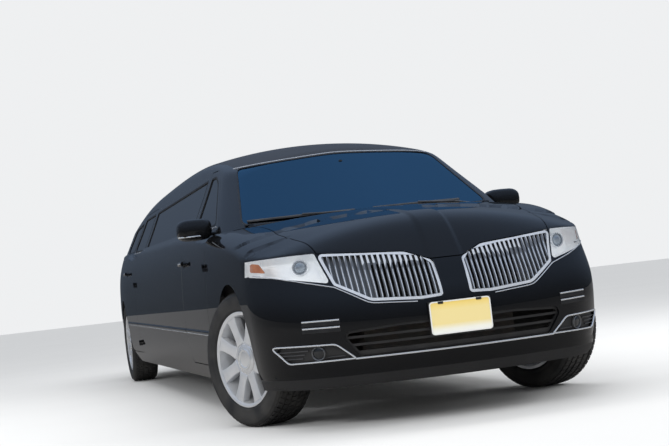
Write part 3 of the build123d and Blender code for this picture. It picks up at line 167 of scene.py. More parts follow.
class Graph:
    """Node tree of one material or of the world, with one method that adds any node."""

    def __init__(self, name: str, world: bool = False) -> None:
        """Start an empty tree."""
        self.holder = (bpy.data.worlds if world else bpy.data.materials).new(name)
        self.holder.use_nodes = True
        self.tree = self.holder.node_tree
        self.tree.nodes.clear()

    def raw(self, kind: str, settings: dict[str, object], inputs: dict[int | str, object]) -> bpy.types.Node:
        """Add a node.

        Args:
            kind: the node's type.
            settings: attributes that are set before the sockets; "stops" fills a colour ramp.
            inputs: values or signals by socket name or index.

        Returns:
            The node.
        """
        node = self.tree.nodes.new(kind)
        for key, value in settings.items():
            if key == "stops":
                ramp = node.color_ramp
                while len(ramp.elements) < len(value):
                    ramp.elements.new(0.5)
                for element, (place, colour) in zip(ramp.elements, value):
                    element.position = place
                    element.color = colour
            else:
                setattr(node, key, value)
        for key, value in inputs.items():
            if isinstance(value, Signal):
                self.tree.links.new(value.socket, node.inputs[key])
            else:
                node.inputs[key].default_value = value
        return node

    def add(self, kind: str, settings: dict[str, object], inputs: dict[int | str, object],
            output: int | str = 0) -> Signal:
        """Add a node and return one of its outputs as a signal."""
        return Signal(self, self.raw(kind, settings, inputs).outputs[output])

    def place(self) -> Signal:
        """Object coordinates."""
        return self.add("ShaderNodeTexCoord", {}, {}, 3)

    def height(self) -> Signal:
        """Height over the ground in metres."""
        return self.add("ShaderNodeSeparateXYZ", {}, {0: self.place()}, 2)

    def noise(self, scale: float, detail: float = 3.0, where: Signal | None = None) -> Signal:
        """Noise from 0 to 1 over the surface."""
        where = self.place() if where is None else where
        return self.add("ShaderNodeTexNoise", {}, {"Vector": where, "Scale": scale, "Detail": detail})

    def mix(self, factor: Signal, under: Signal | Sequence[float], over: Sequence[float]) -> Signal:
        """Colour of two, the second as strong as the factor says."""
        first = under if isinstance(under, Signal) else (*under, 1.0)
        return self.add("ShaderNodeMix", {"data_type": "RGBA"}, {0: factor, 6: first, 7: (*over, 1.0)}, 2)

    def bump(self, height: Signal, distance: float, strength: float = 1.0) -> Signal:
        """Bumped normal."""
        return self.add("ShaderNodeBump", {}, {"Height": height, "Distance": distance, "Strength": strength})

    def surface(self, inputs: dict) -> Signal:
        """Principled shader."""
        return self.add("ShaderNodeBsdfPrincipled", {}, inputs)

    def finish(self, shader: Signal) -> bpy.types.Material:
        """Link the shader to the output and return the material."""
        self.raw("ShaderNodeOutputMaterial", {}, {"Surface": shader})
        return self.holder


@dataclass(frozen=True)
class Finish:
    """A named surface finish with a colour, a gloss and a fine relief.

    Args:
        title: material name.
        slot: the record's slot of a like finish; not used.
        colour: base colour.
        second: colour that the base varies to.
        grain: scale of the colour variation, per metre.
        rough: lowest and highest roughness.
        relief: scale and depth of the bump.
        fixed: shader values that are the same all over.
        dust: share of pale road dust low on the car.
    """

    DUST = (0.20, 0.185, 0.165)
    DUST_TOP = (0.28, 0.22)
    DUST_GRAIN = 9.0
    DUST_PATCHES = (0.5, 0.35)
    DUST_ROUGH = 0.5

    title: str
    slot: str
    colour: tuple[float, float, float]
    second: tuple[float, float, float]
    grain: float = 6.0
    rough: tuple[float, float] = (0.3, 0.4)
    relief: tuple[float, float] = (300.0, 0.0)
    fixed: tuple[tuple[str, object], ...] = ()
    dust: float = 0.0

    def make(self) -> bpy.types.Material:
        """Build the material."""
        graph = Graph(self.title)
        cloud = graph.noise(self.grain)
        colour = graph.mix(cloud.above(0.5, 0.2), self.colour, self.second)
        rough = cloud.spread(*self.rough)
        if self.dust:
            low = 1.0 - graph.height().above(*self.DUST_TOP)
            film = low * graph.noise(self.DUST_GRAIN).above(*self.DUST_PATCHES) * self.dust
            colour = graph.mix(film, colour, self.DUST)
            rough = rough + film * self.DUST_ROUGH
        inputs = {"Base Color": colour, "Roughness": rough}
        scale, depth = self.relief
        if depth:
            inputs["Normal"] = graph.bump(graph.noise(scale, 2.0), depth)
        for key, value in self.fixed:
            inputs[key] = value
        return graph.finish(graph.surface(inputs))


@dataclass(frozen=True)
class Pane(Finish):
    """A see-through finish: a tint that lets light by, under a mirror-like face."""

    tint: tuple[float, float, float] = (0.1, 0.12, 0.13)
    reflect: tuple[float, float, float] = (1.0, 1.0, 1.0)
    floor: float = 0.04

    def make(self) -> bpy.types.Material:
        """Build the material."""
        graph = Graph(self.title)
        clear = graph.add("ShaderNodeBsdfTransparent", {}, {"Color": (*self.tint, 1.0)})
        film = graph.noise(self.grain).spread(*self.rough)
        gloss = graph.add("ShaderNodeBsdfAnisotropic", {}, {"Color": (*self.reflect, 1.0), "Roughness": film})
        share = graph.add("ShaderNodeFresnel", {}, {"IOR": 1.5}) * (1.0 - self.floor) + self.floor
        mixed = graph.add("ShaderNodeMixShader", {}, {0: share, 1: clear, 2: gloss})
        return graph.finish(mixed)


@dataclass(frozen=True)
class PlateFinish(Finish):
    """Plate paint that goes from one colour high up through a second to white low down."""

    low: float = 0.417
    high: float = 0.569

    def make(self) -> bpy.types.Material:
        """Build the material."""
        graph = Graph(self.title)
        share = (graph.height() - self.low) * (1.0 / (self.high - self.low))
        stops = [(0.0, (0.80, 0.80, 0.76, 1.0)), (0.12, (0.80, 0.79, 0.70, 1.0)), (0.30, (*self.second, 1.0)),
                 (0.74, (*self.second, 1.0)), (1.0, (*self.colour, 1.0))]
        ramp = graph.add("ShaderNodeValToRGB", {"stops": stops}, {0: share})
        rough = graph.noise(self.grain).spread(*self.rough)
        normal = graph.bump(graph.noise(self.relief[0], 2.0), self.relief[1])
        return graph.finish(graph.surface({"Base Color": ramp, "Roughness": rough, "Normal": normal}))


@dataclass(frozen=True)
class CappedPaint(Finish):
    """Gloss paint with a dull part within some distance of the car's middle or of the ground.

    Args:
        paint: colour of the gloss paint.
        half: reach of the dull part, in metres.
        axis: 1 for a distance from the middle, 2 for a height.
    """

    paint: tuple[float, float, float] = (0.0045, 0.0048, 0.0056)
    half: float = 0.628
    axis: int = 1

    def make(self) -> bpy.types.Material:
        """Build the material."""
        graph = Graph(self.title)
        side = graph.add("ShaderNodeSeparateXYZ", {}, {0: graph.place()}, self.axis)
        away = graph.add("ShaderNodeMath", {"operation": "ABSOLUTE"}, {0: side})
        gloss = away.above(self.half, 0.004)
        grain = graph.noise(self.grain)
        colour = graph.mix(gloss, graph.mix(grain, self.colour, self.second), self.paint)
        dull = 1.0 - gloss
        rough = dull * grain.spread(*self.rough) + gloss * 0.03
        scale, depth = self.relief
        normal = graph.bump(graph.noise(scale, 2.0) * dull, depth)
        return graph.finish(graph.surface({"Base Color": colour, "Roughness": rough, "IOR": 1.42,
                                           "Normal": normal}))


METAL = (("Metallic", 1.0),)


class Palette:
    """The car's finishes, each made once."""

    PAINT = Finish("gloss_black_paint", "deep_gloss_black_paint", (0.0045, 0.0048, 0.0056),
                   (0.006, 0.0062, 0.007), 2.0, (0.10, 0.14),
                   (900.0, 0.00001), (("Coat Weight", 1.0), ("Coat Roughness", 0.02), ("Coat IOR", 1.42),
                                      ("Specular IOR Level", 0.0)), 0.03)
    ROOF = CappedPaint("roof_covering", "dull_black_roof_covering", (0.018, 0.018, 0.02),
                       (0.026, 0.026, 0.028), 3.0, (0.36, 0.48), (750.0, 0.0003))
    SATIN = Finish("satin_chrome", "satin_bright_metal", (0.74, 0.75, 0.77), (0.80, 0.81, 0.82), 12.0,
                   (0.18, 0.26), (1200.0, 0.00002), (("Metallic", 0.55),))
    # Dark grey metal. On the sides of the upright grille bars it is painted shade: the same chrome as their
    # bright SATIN fronts, coloured darker. The fog lamps' rings also use it as dim metal.
    FLANK = Finish("bar_flank", "satin_bright_metal", (0.20, 0.205, 0.215), (0.25, 0.255, 0.265), 12.0,
                   (0.30, 0.38), (1200.0, 0.00002), (("Metallic", 0.7),))
    CHROME = Finish("bright_chrome", "satin_bright_metal", (0.82, 0.83, 0.85), (0.88, 0.89, 0.90), 5.0,
                    (0.06, 0.10), (300.0, 0.0), (("Metallic", 0.72),))
    ALLOY = Finish("silver_wheel_paint", "silver_painted_alloy", (0.72, 0.73, 0.75), (0.78, 0.79, 0.81), 14.0,
                   (0.26, 0.34), (1500.0, 0.00002),
                   (("Metallic", 0.6), ("Coat Weight", 0.6), ("Coat Roughness", 0.08)), 0.03)
    TYRE = Finish("tyre_rubber", "black_tyre_rubber", (0.016, 0.016, 0.017), (0.030, 0.029, 0.028), 9.0,
                  (0.62, 0.80), (500.0, 0.0003), (), 0.06)
    SEAL = Finish("black_rubber", "black_moulded_plastic", (0.010, 0.010, 0.011), (0.016, 0.016, 0.017), 15.0,
                  (0.5, 0.62), (600.0, 0.0001))
    PLASTIC = Finish("black_plastic", "black_moulded_plastic", (0.014, 0.014, 0.015), (0.020, 0.020, 0.021),
                     8.0, (0.42, 0.55), (850.0, 0.0002), (), 0.25)
    TRIM = Finish("dark_bar_finish", "black_moulded_plastic", (0.03, 0.03, 0.032), (0.05, 0.05, 0.053), 8.0,
                  (0.28, 0.36), (850.0, 0.00005))
    UNDER = Finish("underbody_coat", "black_underbody_coating", (0.012, 0.012, 0.012), (0.028, 0.026, 0.024),
                   7.0, (0.6, 0.8), (260.0, 0.0006), (), 0.5)
    IRON = Finish("cast_iron", "cast_iron_and_steel", (0.09, 0.085, 0.08), (0.13, 0.11, 0.095), 18.0,
                  (0.5, 0.7), (400.0, 0.0004), (("Metallic", 0.6),))
    DISC = Finish("turned_disc", "bare_and_coated_steel", (0.42, 0.42, 0.42), (0.50, 0.49, 0.48), 30.0,
                  (0.26, 0.36), (1500.0, 0.00005), METAL)
    STEEL = Finish("exhaust_steel", "bare_and_coated_steel", (0.30, 0.29, 0.28), (0.42, 0.40, 0.38), 9.0,
                   (0.3, 0.5), (500.0, 0.0001), METAL)
    LEATHER = Finish("black_leather", "black_leather", (0.018, 0.017, 0.017), (0.028, 0.026, 0.025), 25.0,
                     (0.42, 0.55), (420.0, 0.0006))
    CARPET = Finish("dark_carpet", "black_underbody_coating", (0.015, 0.015, 0.016), (0.03, 0.03, 0.031),
                    60.0, (0.9, 1.0), (700.0, 0.002))
    WOOD = Finish("dark_veneer", "black_moulded_plastic", (0.045, 0.018, 0.008), (0.09, 0.038, 0.016), 14.0,
                  (0.14, 0.2), (300.0, 0.0), (("Coat Weight", 0.8),))
    LINING = Finish("grey_lining", "black_leather", (0.10, 0.10, 0.10), (0.13, 0.13, 0.125), 40.0, (0.8, 0.9),
                    (900.0, 0.0004))
    PLATE = PlateFinish("plate_yellow", "black_moulded_plastic", (0.80, 0.58, 0.13), (0.80, 0.66, 0.30), 5.0,
                        (0.30, 0.38), (500.0, 0.00002))
    REAR_PLATE = replace(PLATE, title="rear_plate_yellow", low=0.684, high=0.836)
    EDGE = Finish("plate_edge", "silver_painted_alloy", (0.70, 0.70, 0.68), (0.74, 0.74, 0.72), 9.0,
                  (0.3, 0.4), (500.0, 0.00002))
    LIP = CappedPaint("lip_paint", "deep_gloss_black_paint", (0.013, 0.013, 0.014), (0.020, 0.020, 0.021),
                      4.0, (0.42, 0.55), (850.0, 0.0002), half=0.262, axis=2)
    GRILLE = Finish("grille_shell", "satin_bright_metal", (0.13, 0.135, 0.14), (0.17, 0.175, 0.18), 10.0,
                    (0.34, 0.42), (900.0, 0.00005), (("Metallic", 0.5),))
    # Near-black, barely reflecting sheet for the grille's opening: painted shade that stands in for the dark
    # space behind the bars.
    VOID = Finish("grille_void", "black_moulded_plastic", (0.003, 0.003, 0.003), (0.005, 0.005, 0.005), 6.0,
                  (0.7, 0.8), (500.0, 0.0001), (("Specular IOR Level", 0.1),))
    MIRROR = Finish("mirror_glass", "satin_bright_metal", (0.86, 0.88, 0.9), (0.9, 0.9, 0.92), 2.0,
                    (0.01, 0.02), (300.0, 0.0), METAL)
    # Fog lamp lens as an opaque near-black coated disc: painted shade that stands in for the unlit inside of
    # the lamp behind its clear glass.
    FOG = Finish("fog_lens", "clear_lamp", (0.008, 0.009, 0.010), (0.02, 0.022, 0.025), 30.0, (0.05, 0.1),
                 (120.0, 0.0008), (("Coat Weight", 1.0),))
    AMBER = Finish("amber_reflector", "red_lamp", (0.40, 0.15, 0.07), (0.50, 0.21, 0.10), 20.0, (0.12, 0.2),
                   (900.0, 0.0004), (("Coat Weight", 0.8),))
    RED = Finish("red_lamp_lens", "red_lamp", (0.30, 0.004, 0.004), (0.42, 0.008, 0.006), 30.0, (0.06, 0.12),
                 (300.0, 0.0), (("Coat Weight", 1.0),))
    # Inside of the headlamps: its emission is painted light, a faint glow that stands in for light inside the
    # unlit lamp.
    REFLECTOR = Finish("lamp_reflector", "satin_bright_metal", (0.78, 0.79, 0.80), (0.86, 0.86, 0.85), 14.0,
                       (0.30, 0.40), (70.0, 0.0012),
                       (("Metallic", 0.15), ("Emission Color", (0.9, 0.95, 1.0, 1.0)),
                        ("Emission Strength", 0.14)))
    BULB = Finish("projector_lens", "clear_lamp", (0.30, 0.34, 0.38), (0.42, 0.46, 0.50), 40.0, (0.04, 0.08),
                  (60.0, 0.0008), (("Coat Weight", 1.0), ("Metallic", 0.5)))
    SIDE_GLASS = Pane("dark_side_glass", "dark_tinted_glass", (0, 0, 0), (0, 0, 0), 4.0, (0.01, 0.03),
                      tint=(0.05, 0.055, 0.06), floor=0.06)
    # Windscreen: the blue tint of the light let through is the glass's own; the blue colour given to its
    # reflections is a painted sky reflection.
    SCREEN = Pane("blue_tinted_screen", "dark_tinted_glass", (0, 0, 0), (0, 0, 0), 4.0, (0.01, 0.03),
                  tint=(0.05, 0.12, 0.20), reflect=(0.30, 0.66, 1.0), floor=0.12)
    LENS = Pane("clear_lamp_lens", "clear_lamp", (0, 0, 0), (0, 0, 0), 6.0, (0.01, 0.03),
                tint=(0.96, 0.97, 0.98))

    def __init__(self) -> None:
        """Start with nothing made."""
        self._made: dict[str, bpy.types.Material] = {}

    def get(self, finish: Finish) -> bpy.types.Material:
        """The finish's material, made on first use."""
        if finish.title not in self._made:
            self._made[finish.title] = finish.make()
        return self._made[finish.title]


PALETTE = Palette()


def placed(name: str, data: bpy.types.ID) -> bpy.types.Object:
    """New object of the scene, with its mesh, lamp or camera."""
    obj = bpy.data.objects.new(name, data)
    bpy.context.scene.collection.objects.link(obj)
    return obj


class Car:
    """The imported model: its nodes, joints and which body each node rides on."""

    def __init__(self) -> None:
        """Load the frame and note its size."""
        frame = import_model()
        self.nodes: dict[str, bpy.types.Object] = frame["nodes"]
        self.joints: dict[str, dict] = {j["name"]: j for j in frame["joints"]}
        self.cad_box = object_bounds()

    def dress(self, node: str, finish: Finish) -> None:
        """Give a node that keeps its shape one finish."""
        mesh = self.nodes[node].data
        mesh.materials.clear()
        mesh.materials.append(PALETTE.get(finish))


def spline(xs: np.ndarray, ys: np.ndarray, x: np.ndarray) -> np.ndarray:
    """Natural cubic curve through given points.

    Args:
        xs: rising places of the points.
        ys: their values.
        x: places where the curve is read.

    Returns:
        The curve's values at x.
    """
    n = len(xs)
    step = np.diff(xs)
    matrix = np.eye(n)
    right = np.zeros(n)
    for i in range(1, n - 1):
        matrix[i, i - 1:i + 2] = step[i - 1], 2 * (step[i - 1] + step[i]), step[i]
        right[i] = 6 * ((ys[i + 1] - ys[i]) / step[i] - (ys[i] - ys[i - 1]) / step[i - 1])
    bend = np.linalg.solve(matrix, right)
    i = np.clip(np.searchsorted(xs, x) - 1, 0, n - 2)
    h = step[i]
    a = (xs[i + 1] - x) / h
    b = (x - xs[i]) / h
    return a * ys[i] + b * ys[i + 1] + ((a**3 - a) * bend[i] + (b**3 - b) * bend[i + 1]) * h**2 / 6


def unit(rows: np.ndarray) -> np.ndarray:
    """Rows of an array, each scaled to length 1."""
    return rows / np.maximum(np.linalg.norm(rows, axis=1), 1e-6)[:, None]


@dataclass
class PlanStack:
    """Body walls as plan outlines stacked in height, each of tangent arcs.

    Args:
        rows: z, nose x, bow, corner and half-width in front, then tail x, bow and corner.
        taper: radii of the sides' front and rear taper arcs.
        start: x where the front and the rear taper begin, in the row frame.
    """

    rows: list[tuple[float, ...]]
    taper: tuple[float, float]
    start: tuple[float, float]

    def distance(self, p: np.ndarray) -> np.ndarray:
        """Signed distance in plan from the outline at each point's height."""
        table = np.array(self.rows, float)
        z = np.clip(p[:, 2], table[0, 0], table[-1, 0])
        value = [spline(table[:, 0], table[:, k], z) for k in range(1, 8)]
        y = np.abs(p[:, 1])
        ahead = self._end(p[:, 0], y, value[0] + FRONT_AXLE, value[1], value[2], value[3], self.start[0],
                          self.taper[0])
        behind = self._end(-p[:, 0], y, -(value[4] + REAR_AXLE), value[5], value[6], value[3], -self.start[1],
                           self.taper[1])
        return np.where(p[:, 0] > 0, ahead, behind)

    @staticmethod
    def _end(x: np.ndarray, y: np.ndarray, end: np.ndarray, bow: np.ndarray, corner: np.ndarray,
             half: np.ndarray, taper_x: float, taper: float) -> np.ndarray:
        """Signed distance for one end of the outline, which faces +X.

        Args:
            x: distance along the car.
            y: distance from its middle.
            end: place of the end's foremost point.
            bow: radius of the end's face.
            corner: radius of its corner.
            half: half-width of the car.
            taper_x: where the side's taper starts.
            taper: radius of the taper.

        Returns:
            A distance for each point, below 0 inside.
        """
        ax, by = end - bow, half - taper
        ar, br = bow - corner, taper - corner
        run, rise = taper_x - ax, by
        d = np.hypot(run, rise)
        along = (ar**2 - br**2 + d**2) / (2 * d)
        across = np.sqrt(np.maximum(ar**2 - along**2, 0.0))
        ux, uy = run / d, rise / d
        one = np.array([ax + along * ux - across * uy, along * uy + across * ux])
        two = np.array([ax + along * ux + across * uy, along * uy - across * ux])
        cx, cy = np.where(one[0] > two[0], one, two)
        in_bow = (cx - ax) * y - cy * (x - ax) < 0
        in_taper = (cx - taper_x) * (y - by) - (cy - by) * (x - taper_x) > 0
        out = np.hypot(x - cx, y - cy) - corner
        out = np.where(in_bow, np.hypot(x - ax, y) - bow, out)
        out = np.where(in_taper, np.hypot(x - taper_x, y - by) - taper, out)
        return np.where(x < taper_x, y - half, out)


@dataclass
class CrownStack:
    """Body top as cross-sections along the car: a crowned top, a round shoulder, a leaning side.

    Args:
        rows: x in the row frame, centre height, cross radius and shoulder radius.
        half: half-width of the side at half_z.
        half_z: the height where the side has that half-width.
        lean: how far the side leans in for each unit of height.
    """

    rows: list[tuple[float, ...]]
    half: float
    half_z: float
    lean: float

    def distance(self, p: np.ndarray) -> np.ndarray:
        """Signed distance in the cross-section at each point's station."""
        table = np.array(sorted(self.rows), float)
        x = np.clip(p[:, 0], table[0, 0], table[-1, 0])
        top, rt, rs = [spline(table[:, 0], table[:, k], x) for k in range(1, 4)]
        y, z = np.abs(p[:, 1]), p[:, 2]
        size = math.hypot(1.0, self.lean)
        along = (-self.lean / size, 1.0 / size)
        inwards = (-1.0 / size, -self.lean / size)
        bottom = top - rt
        sy, sz = self.half + inwards[0] * rs, self.half_z + inwards[1] * rs
        dy, dz = sy, sz - bottom
        b = dy * along[0] + dz * along[1]
        t = -b + np.sqrt(np.maximum(b**2 - (dy**2 + dz**2 - (rt - rs) ** 2), 0.0))
        cy, cz = sy + along[0] * t, sz + along[1] * t
        side = -(y - self.half) * inwards[0] - (z - self.half_z) * inwards[1]
        out = np.hypot(y - cy, z - cz) - rs
        on_top = cy * (z - bottom) - (cz - bottom) * y > 0
        out = np.where(on_top, np.hypot(y, z - bottom) - rt, out)
        below = (y - cy) * along[0] + (z - cz) * along[1] < 0
        return np.where(below & ~on_top, side, out)


@dataclass
class BodyForm:
    """The smooth outer surface of the lower and of the upper body, in millimetres."""

    hull: PlanStack = field(default_factory=lambda: PlanStack(
        [(200, 955, 1500, 470, 905, -1165, 2300, 300), (330, 1020, 1500, 490, 940, -1230, 2300, 320),
         (480, 1045, 1500, 500, 957, -1248, 2300, 330), (640, 1022, 1550, 500, 965, -1240, 2300, 330),
         (800, 925, 1650, 500, 961, -1205, 2300, 320), (950, 850, 1900, 480, 950, -1170, 2300, 300),
         (1060, 800, 2000, 470, 930, -1140, 2300, 280), (1200, 760, 2000, 460, 885, -1100, 2300, 260)],
        (26000.0, 14000.0), (front(-900), rear(500))))
    crown: CrownStack = field(default_factory=lambda: CrownStack(
        [(front(1200), 520, 2000, 174), (front(1000), 705, 2100, 174), (front(860), 872, 2300, 174),
         (front(720), 992, 2300, 174), (front(560), 1040, 2400, 174), (front(300), 1070, 3400, 174),
         (front(-450), 1132, 6500, 174), (front(-1400), 1172, 9000, 174), (rear(1500), 1225, 9000, 174),
         (rear(200), 1246, 9000, 174), (rear(-1400), 1190, 6000, 174)], 976.0, 500.0, 0.0))
    greenhouse: PlanStack = field(default_factory=lambda: PlanStack(
        [(1040, -140, 1750, 260, 893, -1130, 2600, 240), (1180, -398, 1750, 240, 836, -1075, 2600, 230),
         (1340, -690, 1800, 220, 762, -960, 2600, 220), (1500, -975, 1850, 200, 692, -790, 2600, 200),
         (1740, -1400, 1900, 190, 590, -450, 2600, 190)], (60000.0, 60000.0), (front(-1700), rear(700))))
    roof: CrownStack = field(default_factory=lambda: CrownStack(
        [(front(-60), 1190, 2300, 120), (front(-950), 1522, 2400, 120), (front(-1160), 1580, 2500, 120),
         (front(-1600), 1652, 2600, 120), (front(-2500), 1712, 2600, 120), (rear(1500), 1716, 2600, 120),
         (rear(700), 1694, 2600, 120), (rear(0), 1634, 2600, 120), (rear(-500), 1563, 2600, 120),
         (rear(-1200), 1440, 2600, 120)], 699.0, 1500.0, 0.45))

    def level(self, skin: Skin, p: np.ndarray, soft: float) -> np.ndarray:
        """Distance from one of the two surfaces.

        Args:
            skin: lower or upper body.
            p: points in millimetres.
            soft: width over which the edge between the surface's parts is rounded.

        Returns:
            A distance for each point, below 0 inside.
        """
        if skin is Skin.LOWER:
            a, b = self.hull.distance(p), self.crown.distance(p)
        else:
            a, b = self.greenhouse.distance(p), self.roof.distance(p)
        top = np.maximum(a, b)
        if soft <= 0:
            return top
        near = np.maximum(soft - np.abs(a - b), 0.0) / soft
        return top + near * near * soft / 4

    def slope(self, skin: Skin, p: np.ndarray, soft: float) -> np.ndarray:
        """Outward direction of the surface near each point."""
        out = np.empty_like(p)
        for k in range(3):
            step = np.zeros(3)
            step[k] = 1.0
            out[:, k] = (self.level(skin, p + step, soft) - self.level(skin, p - step, soft)) / 2
        return out

    def settle(self, skin: Skin, p: np.ndarray, inset: float, soft: float) -> np.ndarray:
        """Points moved along the slope onto the surface.

        Args:
            skin: lower or upper body.
            p: points in millimetres.
            inset: how far the surface is drawn in.
            soft: width over which its edge is rounded.

        Returns:
            The moved points.
        """
        for _ in range(4):
            g = self.slope(skin, p, soft)
            size = np.maximum((g**2).sum(1), 1e-6)
            p = p - g * ((self.level(skin, p, soft) + inset) / size)[:, None]
        return p


FORM = BodyForm()
RIM_INDEX = 3
OUTER = (Skin.LOWER.value, Skin.UPPER.value)


@dataclass
class SmoothPanel:
    """A body panel whose outer face is laid on the smooth body surface.

    Args:
        node: the solid that it stands for.
        body: the body that it rides on.
        outer: finish of the outer face.
        inner: finish of every other face.
        inset: depth of the outer face under the body's surface.
        edge: longest edge left on the outer face.
        skins: surfaces that the panel has faces on.
        reach: how near to the surface a face's corners are to count as outer.
        shape: change of the settled points, such as a crease.
        soft: width over which the edge between two surfaces is rounded.
        rim: depth down to which an inner face gets the outer finish.
        fine: distance from the car's middle within which the mesh is finer.
    """

    SLIVER = 0.00006
    FACING = 0.5
    CLOSE = 2.0
    FINE_EDGE = 0.016
    SHARP_ANGLE = 28.0
    PROUD = (-3.0, 20.0)
    PROUD_FACING = 0.6

    node: str
    body: str
    outer: Finish
    inner: Finish
    inset: float = 0.0
    edge: float = 38.0
    reach: float = 9.0
    skins: tuple[Skin, ...] = (Skin.LOWER, Skin.UPPER)
    shape: Callable[[np.ndarray], np.ndarray] | None = None
    soft: float = SOFT_EDGE
    rim: float = 40.0
    fine: float = 0.0

    def build(self, car: Car) -> bpy.types.Object:
        """Copy the solid's mesh, divide its outer face, settle and shade it."""
        bm = bmesh.new()
        bm.from_mesh(car.nodes[self.node].data)
        bmesh.ops.remove_doubles(bm, verts=bm.verts, dist=MERGE)
        self._mark(bm)
        self._divide(bm)
        mesh = bpy.data.meshes.new(self.node + "_skin")
        bm.to_mesh(mesh)
        bm.free()
        self._settle(mesh)
        mesh.materials.append(PALETTE.get(self.inner))
        for _ in range(3):
            mesh.materials.append(PALETTE.get(self.outer))
        obj = placed(self.node + "_skin", mesh)
        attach(obj, self.body)
        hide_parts(self.node)
        LOG.info("%s: %d faces", obj.name, len(mesh.polygons))
        return obj

    def _mark(self, bm: bmesh.types.BMesh) -> None:
        """Give each face the index of the surface it lies on."""
        bm.verts.ensure_lookup_table()
        bm.faces.ensure_lookup_table()
        bm.normal_update()
        points = np.array([v.co for v in bm.verts]) * 1000
        corners = np.array([[v.index for v in f.verts] for f in bm.faces])
        normals = np.array([f.normal for f in bm.faces])
        centres = points[corners].mean(1)
        best = np.full(len(corners), self.reach * 2)
        sliver = np.array([f.calc_area() for f in bm.faces]) < self.SLIVER
        for face in bm.faces:
            face.material_index = Skin.INNER.value
        for skin in self.skins:
            off = np.abs(FORM.level(skin, points, 0.0) + self.inset)
            slope = unit(FORM.slope(skin, centres, 0.0))
            worst = off[corners].max(1)
            along = (slope * normals).sum(1)
            facing = (worst < self.reach) & (along > self.FACING)
            fits = (facing | ((worst < self.CLOSE) & sliver)) & (worst < best)
            best = np.where(fits, worst, best)
            for i in np.nonzero(fits)[0]:
                bm.faces[i].material_index = skin.value
        depth = np.minimum(FORM.level(Skin.LOWER, centres, 0.0), FORM.level(Skin.UPPER, centres, 0.0))
        for face, deep in zip(bm.faces, depth):
            if face.material_index == Skin.INNER.value and deep > -self.rim and self.rim > 0:
                face.material_index = RIM_INDEX

    def _divide(self, bm: bmesh.types.BMesh) -> None:
        """Halve the outer face's long edges until none is left."""
        limit = self.edge * MM
        for _ in range(9):
            long_edges = [e for e in bm.edges if any(f.material_index in OUTER for f in e.link_faces)
                          and e.calc_length() > (limit if min(abs(v.co.y) for v in e.verts) > self.fine * MM
                                                 else min(limit, self.FINE_EDGE))]
            if not long_edges:
                break
            bmesh.ops.subdivide_edges(bm, edges=long_edges, cuts=1)
            bmesh.ops.triangulate(bm, faces=[f for f in bm.faces if len(f.verts) > 3])
        outer = [f for f in bm.faces if f.material_index in OUTER]
        inside = [e for e in bm.edges if len(e.link_faces) == 2
                  and all(f.material_index in OUTER for f in e.link_faces)
                  and e.link_faces[0].material_index == e.link_faces[1].material_index]
        bmesh.ops.beautify_fill(bm, faces=outer, edges=inside)

    def _settle(self, mesh: bpy.types.Mesh) -> None:
        """Lay the outer face's points on the surface and give it the surface's normals."""
        count = len(mesh.vertices)
        points = np.empty(count * 3)
        mesh.vertices.foreach_get("co", points)
        points = points.reshape(-1, 3) * 1000
        index = np.empty(len(mesh.polygons), int)
        mesh.polygons.foreach_get("material_index", index)
        loops = np.empty(len(mesh.loops), int)
        mesh.loops.foreach_get("vertex_index", loops)
        loops = loops.reshape(-1, 3)
        on = {skin: np.unique(loops[index == skin.value]) for skin in self.skins}
        for _ in range(3):
            for skin, members in on.items():
                if len(members):
                    points[members] = FORM.settle(skin, points[members], self.inset, self.soft)
        if self.shape is not None:
            members = np.unique(loops[np.isin(index, OUTER)])
            points[members] = self.shape(points[members])
        mesh.vertices.foreach_set("co", (points * MM).ravel())
        mesh.update()
        mesh.polygons.foreach_set("use_smooth", np.ones(len(mesh.polygons), bool))
        mesh.set_sharp_from_angle(angle=math.radians(self.SHARP_ANGLE))
        normals = np.zeros((len(mesh.loops), 3))
        flat = np.empty(len(mesh.polygons) * 3)
        mesh.polygons.foreach_get("normal", flat)
        centres = points[loops].mean(1)
        for skin in self.skins:
            slope = unit(FORM.slope(skin, centres, 0.0))
            level = FORM.level(skin, centres, 0.0) + self.inset
            faced = (slope * flat.reshape(-1, 3)).sum(1) > self.PROUD_FACING
            proud = (index == RIM_INDEX) & (level > self.PROUD[0]) & (level < self.PROUD[1]) & faced
            rows = np.nonzero((index == skin.value) | proud)[0]
            if not len(rows):
                continue
            at = points[loops[rows].ravel()]
            spots = (rows[:, None] * 3 + np.arange(3)).ravel()
            normals[spots] = unit(self._slope(skin, at))
        mesh.normals_split_custom_set(normals.tolist())

    def _slope(self, skin: Skin, at: np.ndarray) -> np.ndarray:
        """Normals at points of the outer face, also where its shape is changed."""
        slope = FORM.slope(skin, at, self.soft)
        if self.shape is None:
            return slope
        slope = unit(slope)
        first = unit(np.cross(slope, np.array([0.0, 1.0, 0.0])))
        second = np.cross(slope, first)
        base = FORM.settle(skin, at, self.inset, self.soft)
        step = 3.0
        run = [self.shape(base + v * step) - self.shape(base - v * step) for v in (first, second)]
        out = np.cross(run[0], run[1])
        return out * np.sign((out * slope).sum(1))[:, None]


def cut_across(bm: bmesh.types.BMesh, axis: int, place: float) -> None:
    """Divide a mesh by a plane that stands across one axis at a place in metres."""
    at, normal = Vector((0, 0, 0)), Vector((0, 0, 0))
    at[axis], normal[axis] = place, 1.0
    bmesh.ops.bisect_plane(bm, geom=bm.verts[:] + bm.edges[:] + bm.faces[:], plane_co=at, plane_no=normal)


def oval(wide: float, high: float, count: int) -> list[tuple[float, float]]:
    """Section of a round or oval bar, from its two radii."""
    return [(math.cos(a) * wide, math.sin(a) * high) for a in np.arange(count) * math.tau / count]


